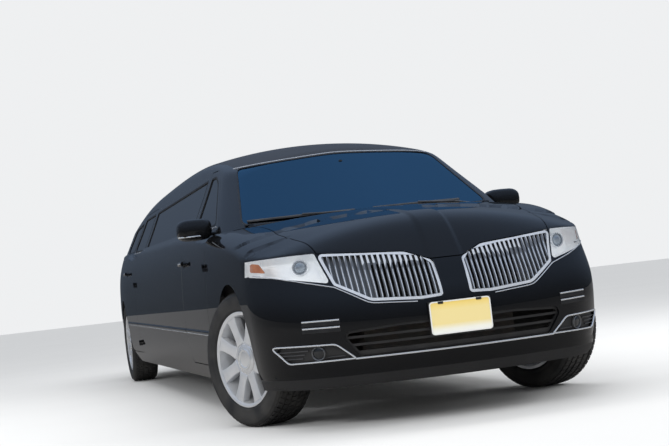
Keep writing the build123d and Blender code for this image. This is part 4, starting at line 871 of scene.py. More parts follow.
class Blank:
    """A mesh in the making, in metres, with the maker's few shaping moves."""

    def __init__(self) -> None:
        """Start with nothing."""
        self.bm = bmesh.new()

    def turn(self, profile: Sequence[tuple[float, float]], steps: int = 96, closed: bool = True) -> None:
        """Spin a profile about the Y axis.

        Args:
            profile: points (radius, y) in millimetres.
            steps: steps of the full turn.
            closed: whether the profile comes back to its start.
        """
        verts = [self.bm.verts.new((r * MM, y * MM, 0.0)) for r, y in profile]
        count = len(verts) if closed else len(verts) - 1
        edges = [self.bm.edges.new((verts[i], verts[(i + 1) % len(verts)])) for i in range(count)]
        bmesh.ops.spin(self.bm, geom=verts + edges, cent=(0, 0, 0), axis=(0, 1, 0), dvec=(0, 0, 0),
                       angle=math.tau, steps=steps, use_merge=True, use_duplicate=False)

    def prism(self, outline: Sequence[Vector], way: Vector, bevel: float = 0.0, segments: int = 2,
              top_scale: float = 1.0) -> list[bmesh.types.BMVert]:
        """Raise a flat outline along a vector, in millimetres, and bevel its edges.

        Args:
            outline: corners in order.
            way: the rise.
            bevel: width of the rounded edges.
            segments: steps of each rounded edge.
            top_scale: scale of the raised face about its middle.

        Returns:
            The new corners.
        """
        verts = [self.bm.verts.new(Vector(p) * MM) for p in outline]
        face = self.bm.faces.new(verts)
        made = bmesh.ops.extrude_face_region(self.bm, geom=[face])["geom"]
        top = [v for v in made if isinstance(v, bmesh.types.BMVert)]
        bmesh.ops.translate(self.bm, vec=Vector(way) * MM, verts=top)
        if top_scale != 1.0:
            middle = sum((v.co for v in top), Vector()) / len(top)
            bmesh.ops.scale(self.bm, vec=(top_scale,) * 3, space=Matrix.Translation(-middle), verts=top)
        every = verts + top
        if bevel:
            edges = list({e for v in every for e in v.link_edges})
            done = bmesh.ops.bevel(self.bm, geom=edges, offset=bevel * MM, segments=segments, profile=0.5,
                                   affect="EDGES", material=-1, clamp_overlap=True)
            every = list({v for v in done["verts"]} | {v for v in every if v.is_valid})
        return every

    def block(self, low: Sequence[float], high: Sequence[float], bevel: float = 0.0,
              segments: int = 3) -> list[bmesh.types.BMVert]:
        """Rounded block between two corners.

        Args:
            low: lowest x, y and z in millimetres.
            high: highest x, y and z.
            bevel: width of the rounded edges.
            segments: steps of each rounded edge.

        Returns:
            The new corners.
        """
        x0, y0, z0 = low
        x1, y1, z1 = high
        base = [Vector((x0, y0, z0)), Vector((x1, y0, z0)), Vector((x1, y1, z0)), Vector((x0, y1, z0))]
        return self.prism(base, Vector((0, 0, z1 - z0)), bevel, segments)

    def rod(self, a: Sequence[float], b: Sequence[float], radius: float, radius_b: float | None = None,
            sides: int = 24, bevel: float = 0.0) -> list[bmesh.types.BMVert]:
        """Round bar between two points.

        Args:
            a: start, in millimetres.
            b: end.
            radius: radius at the start.
            radius_b: radius at the end, or the same.
            sides: faces round it.
            bevel: width of its rounded rims.

        Returns:
            The new corners.
        """
        start, stop = Vector(a) * MM, Vector(b) * MM
        way = stop - start
        turn = way.to_track_quat("Z", "Y").to_matrix().to_4x4()
        matrix = Matrix.Translation((start + stop) / 2) @ turn
        made = bmesh.ops.create_cone(self.bm, cap_ends=True, segments=sides, radius1=radius * MM,
                                     radius2=(radius if radius_b is None else radius_b) * MM,
                                     depth=way.length, matrix=matrix)["verts"]
        if bevel:
            rims = [e for e in {e for v in made for e in v.link_edges} if len(e.link_faces) == 2
                    and any(len(f.verts) > 4 for f in e.link_faces)]
            bmesh.ops.bevel(self.bm, geom=rims, offset=bevel * MM, segments=2, profile=0.5, affect="EDGES",
                            material=-1, clamp_overlap=True)
        return made

    def ball(self, centre: Sequence[float], radii: Sequence[float], turns: int = 24) -> None:
        """Ellipsoid in millimetres."""
        scale = Matrix.Diagonal((*[r * MM for r in radii], 1.0))
        bmesh.ops.create_uvsphere(self.bm, u_segments=turns, v_segments=turns // 2, radius=1.0,
                                  matrix=Matrix.Translation(Vector(centre) * MM) @ scale)

    def sweep(self, path: Sequence[Sequence[float]], section: Sequence[tuple[float, float]],
              up: Callable[[Vector], Vector], closed: bool = False) -> None:
        """Carry a closed section of (across, out) along a path, in millimetres.

        Args:
            path: points of the path.
            section: corners of the section.
            up: gives the outward direction at a point of the path.
            closed: whether the path comes back to its start.
        """
        points = [Vector(p) for p in path]
        rings = []
        n = len(points)
        for i, p in enumerate(points):
            after = points[(i + 1) % n] if closed or i < n - 1 else p
            before = points[i - 1] if closed or i > 0 else p
            along = (after - before).normalized()
            out = Vector(up(p))
            out = (out - along * out.dot(along)).normalized()
            across = along.cross(out)
            rings.append([self.bm.verts.new((p + across * a + out * b) * MM) for a, b in section])
        self.loft(rings, closed)

    def loft(self, rings: Sequence[Sequence[bmesh.types.BMVert]], closed: bool = False) -> None:
        """Join rings of corners.

        Args:
            rings: the rings in order, each with as many corners.
            closed: whether the last ring is joined to the first, or each end gets a face.
        """
        count = len(rings[0])
        for one, two in list(zip(rings, rings[1:])) + ([(rings[-1], rings[0])] if closed else []):
            for k in range(count):
                m = (k + 1) % count
                self.bm.faces.new((one[k], one[m], two[m], two[k]))
        if not closed:
            self.bm.faces.new(rings[0][::-1])
            self.bm.faces.new(rings[-1])

    def place(self, matrix: Matrix) -> Blank:
        """Move the whole mesh and hand it back."""
        bmesh.ops.transform(self.bm, matrix=matrix, verts=self.bm.verts)
        return self

    def mirror_y(self) -> None:
        """Add the twin on the other side of the car."""
        copy = bmesh.ops.duplicate(self.bm, geom=self.bm.verts[:] + self.bm.edges[:]
                                   + self.bm.faces[:])["geom"]
        verts = [v for v in copy if isinstance(v, bmesh.types.BMVert)]
        faces = [f for f in copy if isinstance(f, bmesh.types.BMFace)]
        bmesh.ops.scale(self.bm, vec=(1, -1, 1), verts=verts)
        bmesh.ops.reverse_faces(self.bm, faces=faces)

    def done(self, name: str, finish: Finish, body: str, angle: float = 32.0,
             replaces: Iterable[str] = (), levels: int = 0) -> bpy.types.Object:
        """Close the mesh as an object that rides on a body.

        Args:
            name: the piece's name.
            finish: its finish.
            body: the body it rides on.
            angle: edges sharper than this stay sharp.
            replaces: solids that it stands for.
            levels: subdivision levels.

        Returns:
            The object.
        """
        bmesh.ops.remove_doubles(self.bm, verts=self.bm.verts, dist=MERGE)
        bmesh.ops.recalc_face_normals(self.bm, faces=self.bm.faces)
        mesh = bpy.data.meshes.new(name)
        self.bm.to_mesh(mesh)
        self.bm.free()
        mesh.polygons.foreach_set("use_smooth", [True] * len(mesh.polygons))
        mesh.set_sharp_from_angle(angle=math.radians(angle))
        mesh.materials.append(PALETTE.get(finish))
        obj = placed(name, mesh)
        if levels:
            wave = obj.modifiers.new("rounding", "SUBSURF")
            wave.levels = wave.render_levels = levels
        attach(obj, body)
        for node in replaces:
            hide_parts(node)
        LOG.info("%s: %d faces", name, len(mesh.polygons))
        return obj


@dataclass
class RoadWheel:
    """One wheel: an eight-spoke alloy rim with its cap, and a tyre with tread.

    Args:
        end: "front" or "rear".
        side: which side of the car.
        radius: tyre radius.
        width: tyre width.
        spokes: number of spokes.
        cap_radius: radius of the centre cap.
        blocks: tread blocks round the tyre.
    """

    end: str
    side: Side
    radius: float = 365.0
    width: float = 235.0
    spokes: int = 8
    cap_radius: float = 80.0
    blocks: int = 66

    @property
    def tag(self) -> str:
        """The wheel's words in node names."""
        return f"{self.end}_{self.side.tag}"

    def frame(self, car: Car) -> Matrix:
        """Matrix from the wheel's own axes, +Y outwards, to its place on the car."""
        joint = car.joints[f"roll_{self.tag}"]
        out = Vector(joint["axis"]).normalized()
        if out.y * self.side.value < 0:
            out = -out
        up = Vector((0, 0, 1))
        ahead = out.cross(up).normalized()
        turn = Matrix((ahead, out, up)).transposed().to_4x4()
        if turn.determinant() < 0:
            turn = Matrix((-ahead, out, up)).transposed().to_4x4()
        return Matrix.Translation(Vector(joint["pos_m"])) @ turn

    def build(self, car: Car) -> None:
        """Make the rim, its cap and the tyre."""
        place = self.frame(car)
        tag = self.tag
        body = f"wheel_{tag}"
        self.make_rim().place(place).done(f"alloy_{tag}", Palette.ALLOY, body, 30, [f"rim_{tag}"])
        self.make_cap().place(place).done(f"cap_{tag}", Palette.CHROME, body, 30)
        self.make_tyre().place(place).done(f"tread_tyre_{tag}", Palette.TYRE, body, 35, [f"tyre_{tag}"])

    def make_rim(self) -> Blank:
        """Barrel, lip and spokes."""
        blank = Blank()
        blank.turn([(241, -105), (256, -105), (256, -99), (243, -93), (241, -60), (222, -48), (222, 30),
                    (240, 62), (241, 92), (252, 97), (257, 100), (257.5, 104), (254, 105), (247, 103.5),
                    (238, 99), (234, 90), (231, 62), (214, 28), (214, -44), (234, -62), (236, -98)], 96)
        blank.turn([(0.01, 40), (60, 40), (100, 52), (112, 60), (108, 80), (98, 86), (60, 87), (0.01, 87)],
                   64, False)
        half = [(84, 37), (98, 35.5), (112, 32.5), (128, 31), (150, 31), (180, 32.5), (210, 34.5), (226, 37),
                (238, 44)]
        ring = [Vector((w, 0, r)) for r, w in half] + [Vector((-w, 0, r)) for r, w in reversed(half)]
        for k in range(self.spokes):
            verts = blank.prism([p + Vector((0, 48, 0)) for p in ring], Vector((0, 42, 0)), 2.2, 3, 0.97)
            for v in verts:
                if v.is_valid:
                    radial = v.co.z / MM
                    v.co.y += (radial - 84) * 0.055 * MM
            turn = Matrix.Rotation(math.tau * (k + 0.5) / self.spokes, 4, "Y")
            bmesh.ops.transform(blank.bm, matrix=turn, verts=[v for v in verts if v.is_valid])
        return blank

    def make_cap(self) -> Blank:
        """Large domed centre cap with a raised ring, its middle left bare."""
        r = self.cap_radius
        blank = Blank()
        blank.turn([(0.01, 96), (r * 0.30, 96), (r * 0.52, 95), (r * 0.56, 97.5), (r * 0.62, 98.5),
                    (r * 0.68, 97.5), (r * 0.72, 94.5), (r * 0.90, 92), (r * 0.97, 90), (r, 86), (r, 80),
                    (0.01, 80)], 64, False)
        return blank

    def make_tyre(self) -> Blank:
        """Carcass with round shoulders, a rim guard and tread blocks."""
        w, r = self.width / 2, self.radius
        blank = Blank()
        side = [(241.3, 92), (250, 95.5), (259, 99), (262, 105), (268, 111), (274, 113.5), (280, 112.5),
                (290, 115.3), (305, w), (320, w - 0.6), (333, w - 3), (342, w - 5.5), (343, w - 8),
                (350, w - 13), (354.5, w - 20)]
        grooves = []
        for centre in (62, 22, -22, -62):
            grooves += [(357.6, centre + 7), (r - 7.5, centre + 5), (r - 7.5, centre - 5),
                        (357.6, centre - 7)]
        profile = side + grooves + [(a, -b) for a, b in reversed(side)]
        blank.turn(profile, 132)
        rows = ((-94, -69.5, 0.5, 361.6, 364.2), (-54, -30, 0.0, 364.6, r), (-14, 14, 0.25, r, r),
                (30, 54, 0.5, r, 364.6), (69.5, 94, 0.0, 364.2, 361.6))
        pitch = math.tau / self.blocks
        for y0, y1, shift, top0, top1 in rows:
            for k in range(self.blocks):
                a0 = (k + shift) * pitch
                a1 = a0 + pitch * 0.80
                skew = 0.25 * pitch * (1 if y0 > 0 else -1)
                self._tread(blank, (y0, y1), (a0, a1), skew, (top0, top1))
        return blank

    @staticmethod
    def _tread(blank: Blank, across: tuple[float, float], turn: tuple[float, float], skew: float,
               top: tuple[float, float]) -> None:
        """One tread block, sunk a little into the carcass."""
        low, high = [], []
        for (y, t, lean) in ((across[0], top[0], 0.0), (across[1], top[1], skew)):
            for a in turn if lean == 0.0 else turn[::-1]:
                angle = a + lean
                for ring, radius in ((low, 356.0), (high, t)):
                    ring.append(Vector((math.sin(angle) * radius, y, math.cos(angle) * radius)))
        verts = [blank.bm.verts.new(p * MM) for p in low + high]
        for quad in ((0, 1, 2, 3), (7, 6, 5, 4), (0, 4, 5, 1), (1, 5, 6, 2), (2, 6, 7, 3), (3, 7, 4, 0)):
            blank.bm.faces.new([verts[i] for i in quad])


def corner_path(points: Sequence[tuple[float, float, float]], closed: bool,
                step: float = 45.0) -> list[tuple[float, float]]:
    """Flat path through corners (u, v, radius), its corners rounded and its runs divided.

    Args:
        points: corners with their radii.
        closed: whether the path comes back to its start.
        step: longest run left.

    Returns:
        Points (u, v).
    """
    flat = [Vector((u, v)) for u, v, _ in points]
    n = len(points)
    out: list[Vector] = []
    for i, (u, v, r) in enumerate(points):
        here = flat[i]
        if not closed and i in (0, n - 1) or r <= 0:
            out.append(here)
            continue
        a = (flat[i - 1] - here).normalized()
        b = (flat[(i + 1) % n] - here).normalized()
        half = math.acos(max(-1.0, min(1.0, a.dot(b)))) / 2
        reach = min(r / math.tan(half), (flat[i - 1] - here).length * 0.49,
                    (flat[(i + 1) % n] - here).length * 0.49)
        one, two = here + a * reach, here + b * reach
        steps = max(3, int((math.pi - 2 * half) / 0.2))
        for k in range(steps + 1):
            t = k / steps
            out.append(one * (1 - t) ** 2 + here * 2 * t * (1 - t) + two * t**2)
    path: list[tuple[float, float]] = []
    pairs = list(zip(out, out[1:] + (out[:1] if closed else [])))
    for a, b in pairs:
        count = max(1, math.ceil((b - a).length / step))
        path += [tuple(a.lerp(b, k / count)) for k in range(count)]
    if not closed:
        path.append(tuple(out[-1]))
    return path


class View(Enum):
    """The way in which a flat outline is laid on the body."""

    NOSE = (1.0, 0.0)
    TAIL = (-1.0, 0.0)
    LEFT = (0.0, 1.0)
    RIGHT = (0.0, -1.0)


def lay(path: Sequence[tuple[float, float]], view: View, inset: float = 0.0,
        skin: Skin | None = None) -> np.ndarray:
    """Points of a flat path laid on the body's surface.

    Args:
        path: (y, z) from ahead or behind, (x, z) from a side.
        view: where it is seen from.
        inset: depth under the surface.
        skin: one surface, or the outermost one.

    Returns:
        Points in millimetres.
    """
    flat = np.array(path, float)
    p = np.zeros((len(flat), 3))
    x, y = view.value
    p[:, 0] = AHEAD * x if x else flat[:, 0]
    p[:, 1] = ASIDE * y if y else flat[:, 0]
    p[:, 2] = flat[:, 1]
    way = np.array([x, y, 0.0])
    for _ in range(LAYING_MOVES):
        p -= way * ((depth(p, skin) + inset) * LAYING_SHARE)[:, None]
    return p


def depth(p: np.ndarray, skin: Skin | None) -> np.ndarray:
    """Distance from one body surface, or from the outermost one."""
    if skin is not None:
        return FORM.level(skin, p, SOFT_EDGE)
    return np.minimum(FORM.level(Skin.LOWER, p, SOFT_EDGE), FORM.level(Skin.UPPER, p, SOFT_EDGE))


def outwards(p: Vector, skin: Skin | None = None) -> Vector:
    """Direction away from the body at a point in millimetres."""
    q = np.array([p], float)
    out = []
    for k in range(3):
        step = np.zeros((1, 3))
        step[0, k] = 2.0
        out.append(float((depth(q + step, skin) - depth(q - step, skin))[0]))
    return Vector(out).normalized()


@dataclass
class Strip:
    """A thin trim, moulding or seal that lies on the body.

    Args:
        name: its name.
        finish: its finish.
        body: the body that it rides on.
        points: corners (u, v, radius) in the view.
        view: where the corners are seen from.
        width: width of the strip.
        height: how far it stands out.
        closed: whether it comes back to its start.
        inset: depth of its foot under the surface.
        skin: one surface, or the outermost one.
        root: how far its foot reaches down.
    """

    name: str
    finish: Finish
    body: str
    points: list[tuple[float, float, float]]
    view: View
    width: float = 10.0
    height: float = 3.0
    closed: bool = False
    inset: float = 0.0
    skin: Skin | None = None
    root: float = 3.0

    def build(self) -> bpy.types.Object:
        """Sweep the strip's section along its path."""
        path = lay(corner_path(self.points, self.closed), self.view, self.inset, self.skin)
        w, h, d = self.width / 2, self.height, -self.root
        section = [(-w, d), (-w, h * 0.35), (-w * 0.72, h * 0.86), (-w * 0.3, h), (w * 0.3, h),
                   (w * 0.72, h * 0.86), (w, h * 0.35), (w, d)]
        blank = Blank()
        blank.sweep([Vector(q) for q in path], section, partial(outwards, skin=self.skin), self.closed)
        return blank.done(self.name, self.finish, self.body, 50)


@dataclass
class Patch:
    """A sheet that follows the body inside a flat outline.

    Args:
        name: its name.
        finish: its finish.
        body: the body that it rides on.
        points: corners (u, v, radius) in the view.
        view: where the corners are seen from.
        inset: depth of its face under the surface.
        thick: thickness, inwards.
        cell: size of its mesh cells.
        skin: one surface, or the outermost one.
        twin: whether its mirror image on the other side is made with it.
    """

    name: str
    finish: Finish
    body: str
    points: list[tuple[float, float, float]]
    view: View
    inset: float = 0.0
    thick: float = 2.0
    cell: float = 30.0
    skin: Skin | None = None
    twin: bool = False

    def build(self) -> bpy.types.Object:
        """Cut the outline into cells, lay it on the body and give it its thickness."""
        blank = Blank()
        path = corner_path(self.points, True)
        bm = blank.bm
        bm.faces.new([bm.verts.new((u * MM, v * MM, 0.0)) for u, v in path])
        for axis in range(2):
            low = min(q[axis] for q in path)
            high = max(q[axis] for q in path)
            for k in range(1, int((high - low) / self.cell) + 1):
                cut_across(bm, axis, (low + k * self.cell) * MM)
        verts = bm.verts[:]
        laid = lay([(v.co.x / MM, v.co.y / MM) for v in verts], self.view, self.inset, self.skin)
        for v, q in zip(verts, laid):
            v.co = Vector(q) * MM
        bm.normal_update()
        ahead = sum((f.normal for f in bm.faces), Vector())
        if ahead.dot(outwards(Vector(laid[0]), self.skin)) < 0:
            bmesh.ops.reverse_faces(bm, faces=bm.faces)
        bmesh.ops.solidify(bm, geom=bm.faces[:], thickness=self.thick * MM)
        if self.twin:
            blank.mirror_y()
        return blank.done(self.name, self.finish, self.body, 40)


def plate_sheet(x: float, foot: float, way: float) -> Blank:
    """Thin blank plate with rounded corners and a raised edge.

    Args:
        x: where it stands, in millimetres.
        foot: height of its lower edge.
        way: 1 where it faces ahead, -1 where it faces back.

    Returns:
        The mesh in the making.
    """
    half, tall, corner, sheet = 153, 152, 14, 1.2
    blank = Blank()
    flat = corner_path([(-half, foot, corner), (half, foot, corner), (half, foot + tall, corner),
                        (-half, foot + tall, corner)], True, 400)
    face = blank.bm.faces.new([blank.bm.verts.new(Vector((x, u, v)) * MM) for u, v in flat])
    for inset, rise in ((5.0, 0.0), (3.0, sheet), (4.0, -sheet)):
        bmesh.ops.inset_region(blank.bm, faces=[face], thickness=inset * MM, use_even_offset=True)
        bmesh.ops.translate(blank.bm, vec=(rise * way * MM, 0, 0), verts=face.verts)
    bmesh.ops.solidify(blank.bm, geom=blank.bm.faces[:], thickness=sheet * way * MM)
    return blank


def flipped(points: Sequence[tuple[float, float, float]], side: Side) -> list[tuple[float, float, float]]:
    """Corners given for the left side, on the side that is asked for."""
    return [(u * side.value, v, r) for u, v, r in points]


class FrontFace:
    """Grille backs, lamps, fog lamps, strips and plate of the front."""

    GRILLE = [(68, 600, 18), (72, 770, 30), (125, 822, 55), (300, 846, 200), (618, 868, 20), (572, 706, 25),
              (420, 612, 90), (180, 594, 100)]
    BARS = 20

    def build(self) -> None:
        """Make every piece."""
        self.grille_backs()
        self.edges()
        self.lamps()
        self.strips()
        self.plate()
        self.fog_lamps()

    @staticmethod
    def strip(name: str, finish: Finish, points: list[tuple[float, float, float]], width: float,
              height: float, closed: bool = False, inset: float = 0.0) -> None:
        """Lay one strip on the front of the lower body."""
        Strip(name, finish, "body", points, View.NOSE, width, height, closed, inset, Skin.LOWER).build()

    def grille_backs(self) -> None:
        """Dark panels behind the bars and, in the opening in them, a near-black sheet of painted shade."""
        back = [(76, 606, 14), (80, 765, 20), (130, 812, 50), (300, 836, 150), (606, 858, 15), (560, 712, 20),
                (415, 620, 80), (180, 602, 90)]
        Patch("grille_back", Palette.GRILLE, "body", back, View.NOSE, 30.0, 3.0, 40.0, Skin.LOWER,
              True).build()
        # The sheet in the opening is painted shade.
        opening = [(88, 612, 10), (92, 786, 14), (372, 786, 8), (372, 616, 20), (180, 608, 60)]
        Patch("grille_opening", Palette.VOID, "body", opening, View.NOSE, 27.0, 1.5, 40.0, Skin.LOWER,
              True).build()

    def edges(self) -> None:
        """Bright narrow front edge of every upright bar."""
        blank = Blank()
        ring = [(-2.5, -1.0), (-2.5, 0.9), (-1.2, 2.2), (1.2, 2.2), (2.5, 0.9), (2.5, -1.0)]
        for i in range(self.BARS):
            y = 84.0 + (i + 0.5) * 522.0 / self.BARS
            low, high = self.span(y)
            line = [(y, low + (high - low) * t) for t in np.linspace(0.0, 1.0, 12)]
            blank.sweep([Vector(q) for q in lay(line, View.NOSE, 7.0, Skin.LOWER)], ring,
                        lambda q: outwards(q, Skin.LOWER))
        blank.mirror_y()
        blank.done("grille_edges", Palette.CHROME, "body", 40)

    def span(self, y: float) -> tuple[float, float]:
        """Lowest and highest z of the grille's opening at a distance from the middle."""
        found = []
        for (u0, v0, _), (u1, v1, _) in zip(self.GRILLE, self.GRILLE[1:] + self.GRILLE[:1]):
            if (u0 - y) * (u1 - y) < 0:
                found.append(v0 + (v1 - v0) * (y - u0) / (u1 - u0))
        return min(found) + 15.0, max(found) - 15.0

    def lamps(self) -> None:
        """Bezel, projector and amber end of each headlamp."""
        for side in Side:
            s = side.value
            blank = Blank()
            way = Vector((1.0, 0.28 * s, 0.0)).normalized()
            at = Vector((front(690), 688 * s, 812))
            blank.turn([(39, 0), (39, 14), (36.5, 18), (33, 14), (31, 2), (31, -30), (39, -30)], 48)
            turn = way.to_track_quat("Y", "Z").to_matrix().to_4x4()
            blank.place(Matrix.Translation(at * MM) @ turn)
            blank.done(f"lamp_bezel_{side.tag}", Palette.CHROME, "body", 30)
            ball = Blank()
            ball.ball((0, 0, 0), (30, 16, 30), 32)
            ball.place(Matrix.Translation((at + way * 4) * MM) @ turn)
            ball.done(f"lamp_projector_{side.tag}", Palette.BULB, "body", 80)
            amber = [(848, 802, 6), (868, 852, 10), (898, 862, 10), (902, 816, 8)]
            Patch(f"lamp_amber_{side.tag}", Palette.AMBER, "body", flipped(amber, side), View.NOSE,
                  7.0, 3.0, 20.0, Skin.LOWER).build()

    def strips(self) -> None:
        """Bright strips under the lamps, round the fog lamps and across the bumper."""
        for side in Side:
            under = [(200, 585, 8), (424, 602, 110), (572, 696, 60), (700, 733, 200), (897, 797, 10)]
            self.strip(f"lamp_strip_{side.tag}", Palette.CHROME, flipped(under, side), 5.0, 4.0)
            fog = [(512, 345, 4), (602, 422, 50), (874, 430, 12), (806, 343, 25)]
            self.strip(f"fog_frame_{side.tag}", Palette.CHROME, flipped(fog, side), 8.0, 5.0, True)
            for z in (505, 539):
                # Under each bright corner bar lies a near-black strip: painted shade that stands for a slot's
                # dark recess.
                bar, slot = [(576, z, 0), (742, z + 4, 0)], [(574, z - 14, 0), (744, z - 10, 0)]
                self.strip(f"corner_bar_{side.tag}_{z}", Palette.CHROME, flipped(bar, side), 8.0, 4.0)
                self.strip(f"corner_slot_{side.tag}_{z}", Palette.SEAL, flipped(slot, side), 18.0, 1.0)
        self.strip("bumper_strip", Palette.CHROME, [(-514, 343, 0), (0, 343, 2000), (514, 343, 0)], 9.0, 6.0)

    def plate(self) -> None:
        """Blank plate on the bracket's bosses, with rounded corners and a raised edge."""
        x = front(1058)
        plate_sheet(x, 417, 1.0).done("front_plate", Palette.PLATE, "body", 30)
        rim = Blank()
        outer = corner_path([(-156, 414, 16), (156, 414, 16), (156, 572, 16), (-156, 572, 16)], True, 400)
        band = [(-3.0, -1.0), (-3.0, 1.6), (0.0, 2.4), (3.0, 1.6), (3.0, -1.0)]
        rim.sweep([Vector((x, u * 0.985, 493 + (v - 493) * 0.975)) for u, v in outer], band,
                  lambda q: Vector((1, 0, 0)), True)
        rim.done("front_plate_edge", Palette.EDGE, "body", 40)
        for u in (-98, 98):
            tab = Blank()
            tab.block((x - 1, u - 14, 560), (x + 3.5, u + 14, 572), 1.5, 2)
            tab.done(f"front_plate_clip_{'left' if u > 0 else 'right'}", Palette.SEAL, "body", 30)

    def fog_lamps(self) -> None:
        """Round fog lamp with its ring, a lens made near-black as painted shade, and dark louvres in each
        lower corner.
        """
        for side in Side:
            s = side.value
            at = Vector(lay([(680 * s, 384)], View.NOSE, 9.0, Skin.LOWER)[0])
            out = outwards(at, Skin.LOWER)
            turn = out.to_track_quat("Y", "Z").to_matrix().to_4x4()
            place = Matrix.Translation(at * MM) @ turn
            ring = Blank()
            ring.turn([(35, -6), (35, 3), (32.5, 5.5), (30, 3), (29, -4), (29, -6)], 40)
            ring.place(place).done(f"fog_ring_{side.tag}", Palette.FLANK, "body", 30)
            # The lens is opaque and near-black: painted shade.
            lens = Blank()
            lens.turn([(0.01, 3.5), (10, 3.0), (20, 1.0), (29.2, -3.0), (29.2, -6), (0.01, -6)], 40, False)
            lens.place(place).done(f"fog_lens_{side.tag}", Palette.FOG, "body", 50)
            for k, (u0, u1, v) in enumerate(((746, 846, 366), (738, 852, 384), (722, 858, 402),
                                             (560, 640, 362))):
                self.strip(f"fog_louvre_{side.tag}_{k}", Palette.TRIM, [(u0 * s, v, 0), (u1 * s, v, 0)], 6.0,
                           3.0, inset=10.0)


class Screen:
    """Seal, bright top strip, wipers and inner mirror of the windscreen."""

    OUTLINE = [(-752, 1108, 30), (0, 1078, 900), (752, 1108, 30), (628, 1494, 60), (0, 1532, 1500),
               (-628, 1494, 60)]
    BLADES = (((-110, 1122), (-715, 1124), (-60, 1096)), ((560, 1130), (0, 1124), (600, 1096)))

    def build(self) -> None:
        """Make every piece."""
        Strip("screen_seal", Palette.SEAL, "body", self.OUTLINE, View.NOSE, 15.0, 0.8, True, 1.5, Skin.UPPER,
              7.0).build()
        top = [(-634, 1500, 0), (0, 1540, 1500), (634, 1500, 0)]
        Strip("screen_top_strip", Palette.CHROME, "body", top, View.NOSE, 6.0, 3.0, skin=Skin.UPPER).build()
        for k, (inner, outer, pivot) in enumerate(self.BLADES):
            self.wiper(k, inner, outer, pivot)
        self.mirror()

    def wiper(self, k: int, inner: tuple[float, float], outer: tuple[float, float],
              pivot: tuple[float, float]) -> None:
        """One wiper: a rubber lip, a slim blade over it and an arm from its pivot cap."""
        steps = np.linspace(0.0, 1.0, 13)
        flat = [(inner[0] + (outer[0] - inner[0]) * t, inner[1] + (outer[1] - inner[1]) * t) for t in steps]
        blank = Blank()
        line = [Vector(q) for q in lay(flat, View.NOSE, -7.0, Skin.UPPER)]
        wedge = [(-9, 0), (-5, 6), (3, 7), (9, 1), (0, -3)]
        up = partial(outwards, skin=Skin.UPPER)
        blank.sweep(line, wedge, up)
        lip = [Vector(q) for q in lay(flat, View.NOSE, 4.0, Skin.UPPER)]
        blank.sweep(lip, [(-2, -2), (-2, 9), (2, 9), (2, -2)], up)
        knuckle = Vector(lay([pivot], View.NOSE, -10.0, Skin.UPPER)[0])
        middle = line[6] + up(line[6]) * 9
        near = knuckle.lerp(middle, 0.3) + Vector((0, 0, 14))
        arm = [knuckle + Vector((0, 0, 6)), near, knuckle.lerp(middle, 0.65) + up(middle) * 6, middle]
        blank.sweep(arm, [(-7, -3), (-5, 4), (5, 4), (7, -3)], up)
        blank.rod(knuckle - up(knuckle) * 24, knuckle + up(knuckle) * 8, 15, 13, 24, 2.0)
        blank.done(f"wiper_{'right' if k == 0 else 'left'}", Palette.TRIM, "body", 35)

    def mirror(self) -> None:
        """Mirror inside, on a stalk from the glass."""
        blank = Blank()
        x, z = front(-1130), 1418
        blank.prism([Vector((x, y, z + v)) for y, v in corner_path(
            [(-118, -30, 22), (118, -30, 22), (118, 32, 26), (-118, 32, 26)], True, 400)], Vector((26, 0, 0)),
            5.0, 3)
        foot = Vector(lay([(0, 1462)], View.NOSE, 12.0, Skin.UPPER)[0])
        blank.rod((x + 22, 0, z + 10), foot, 9, 14, 20)
        blank.done("inner_mirror", Palette.PLASTIC, "body", 35)


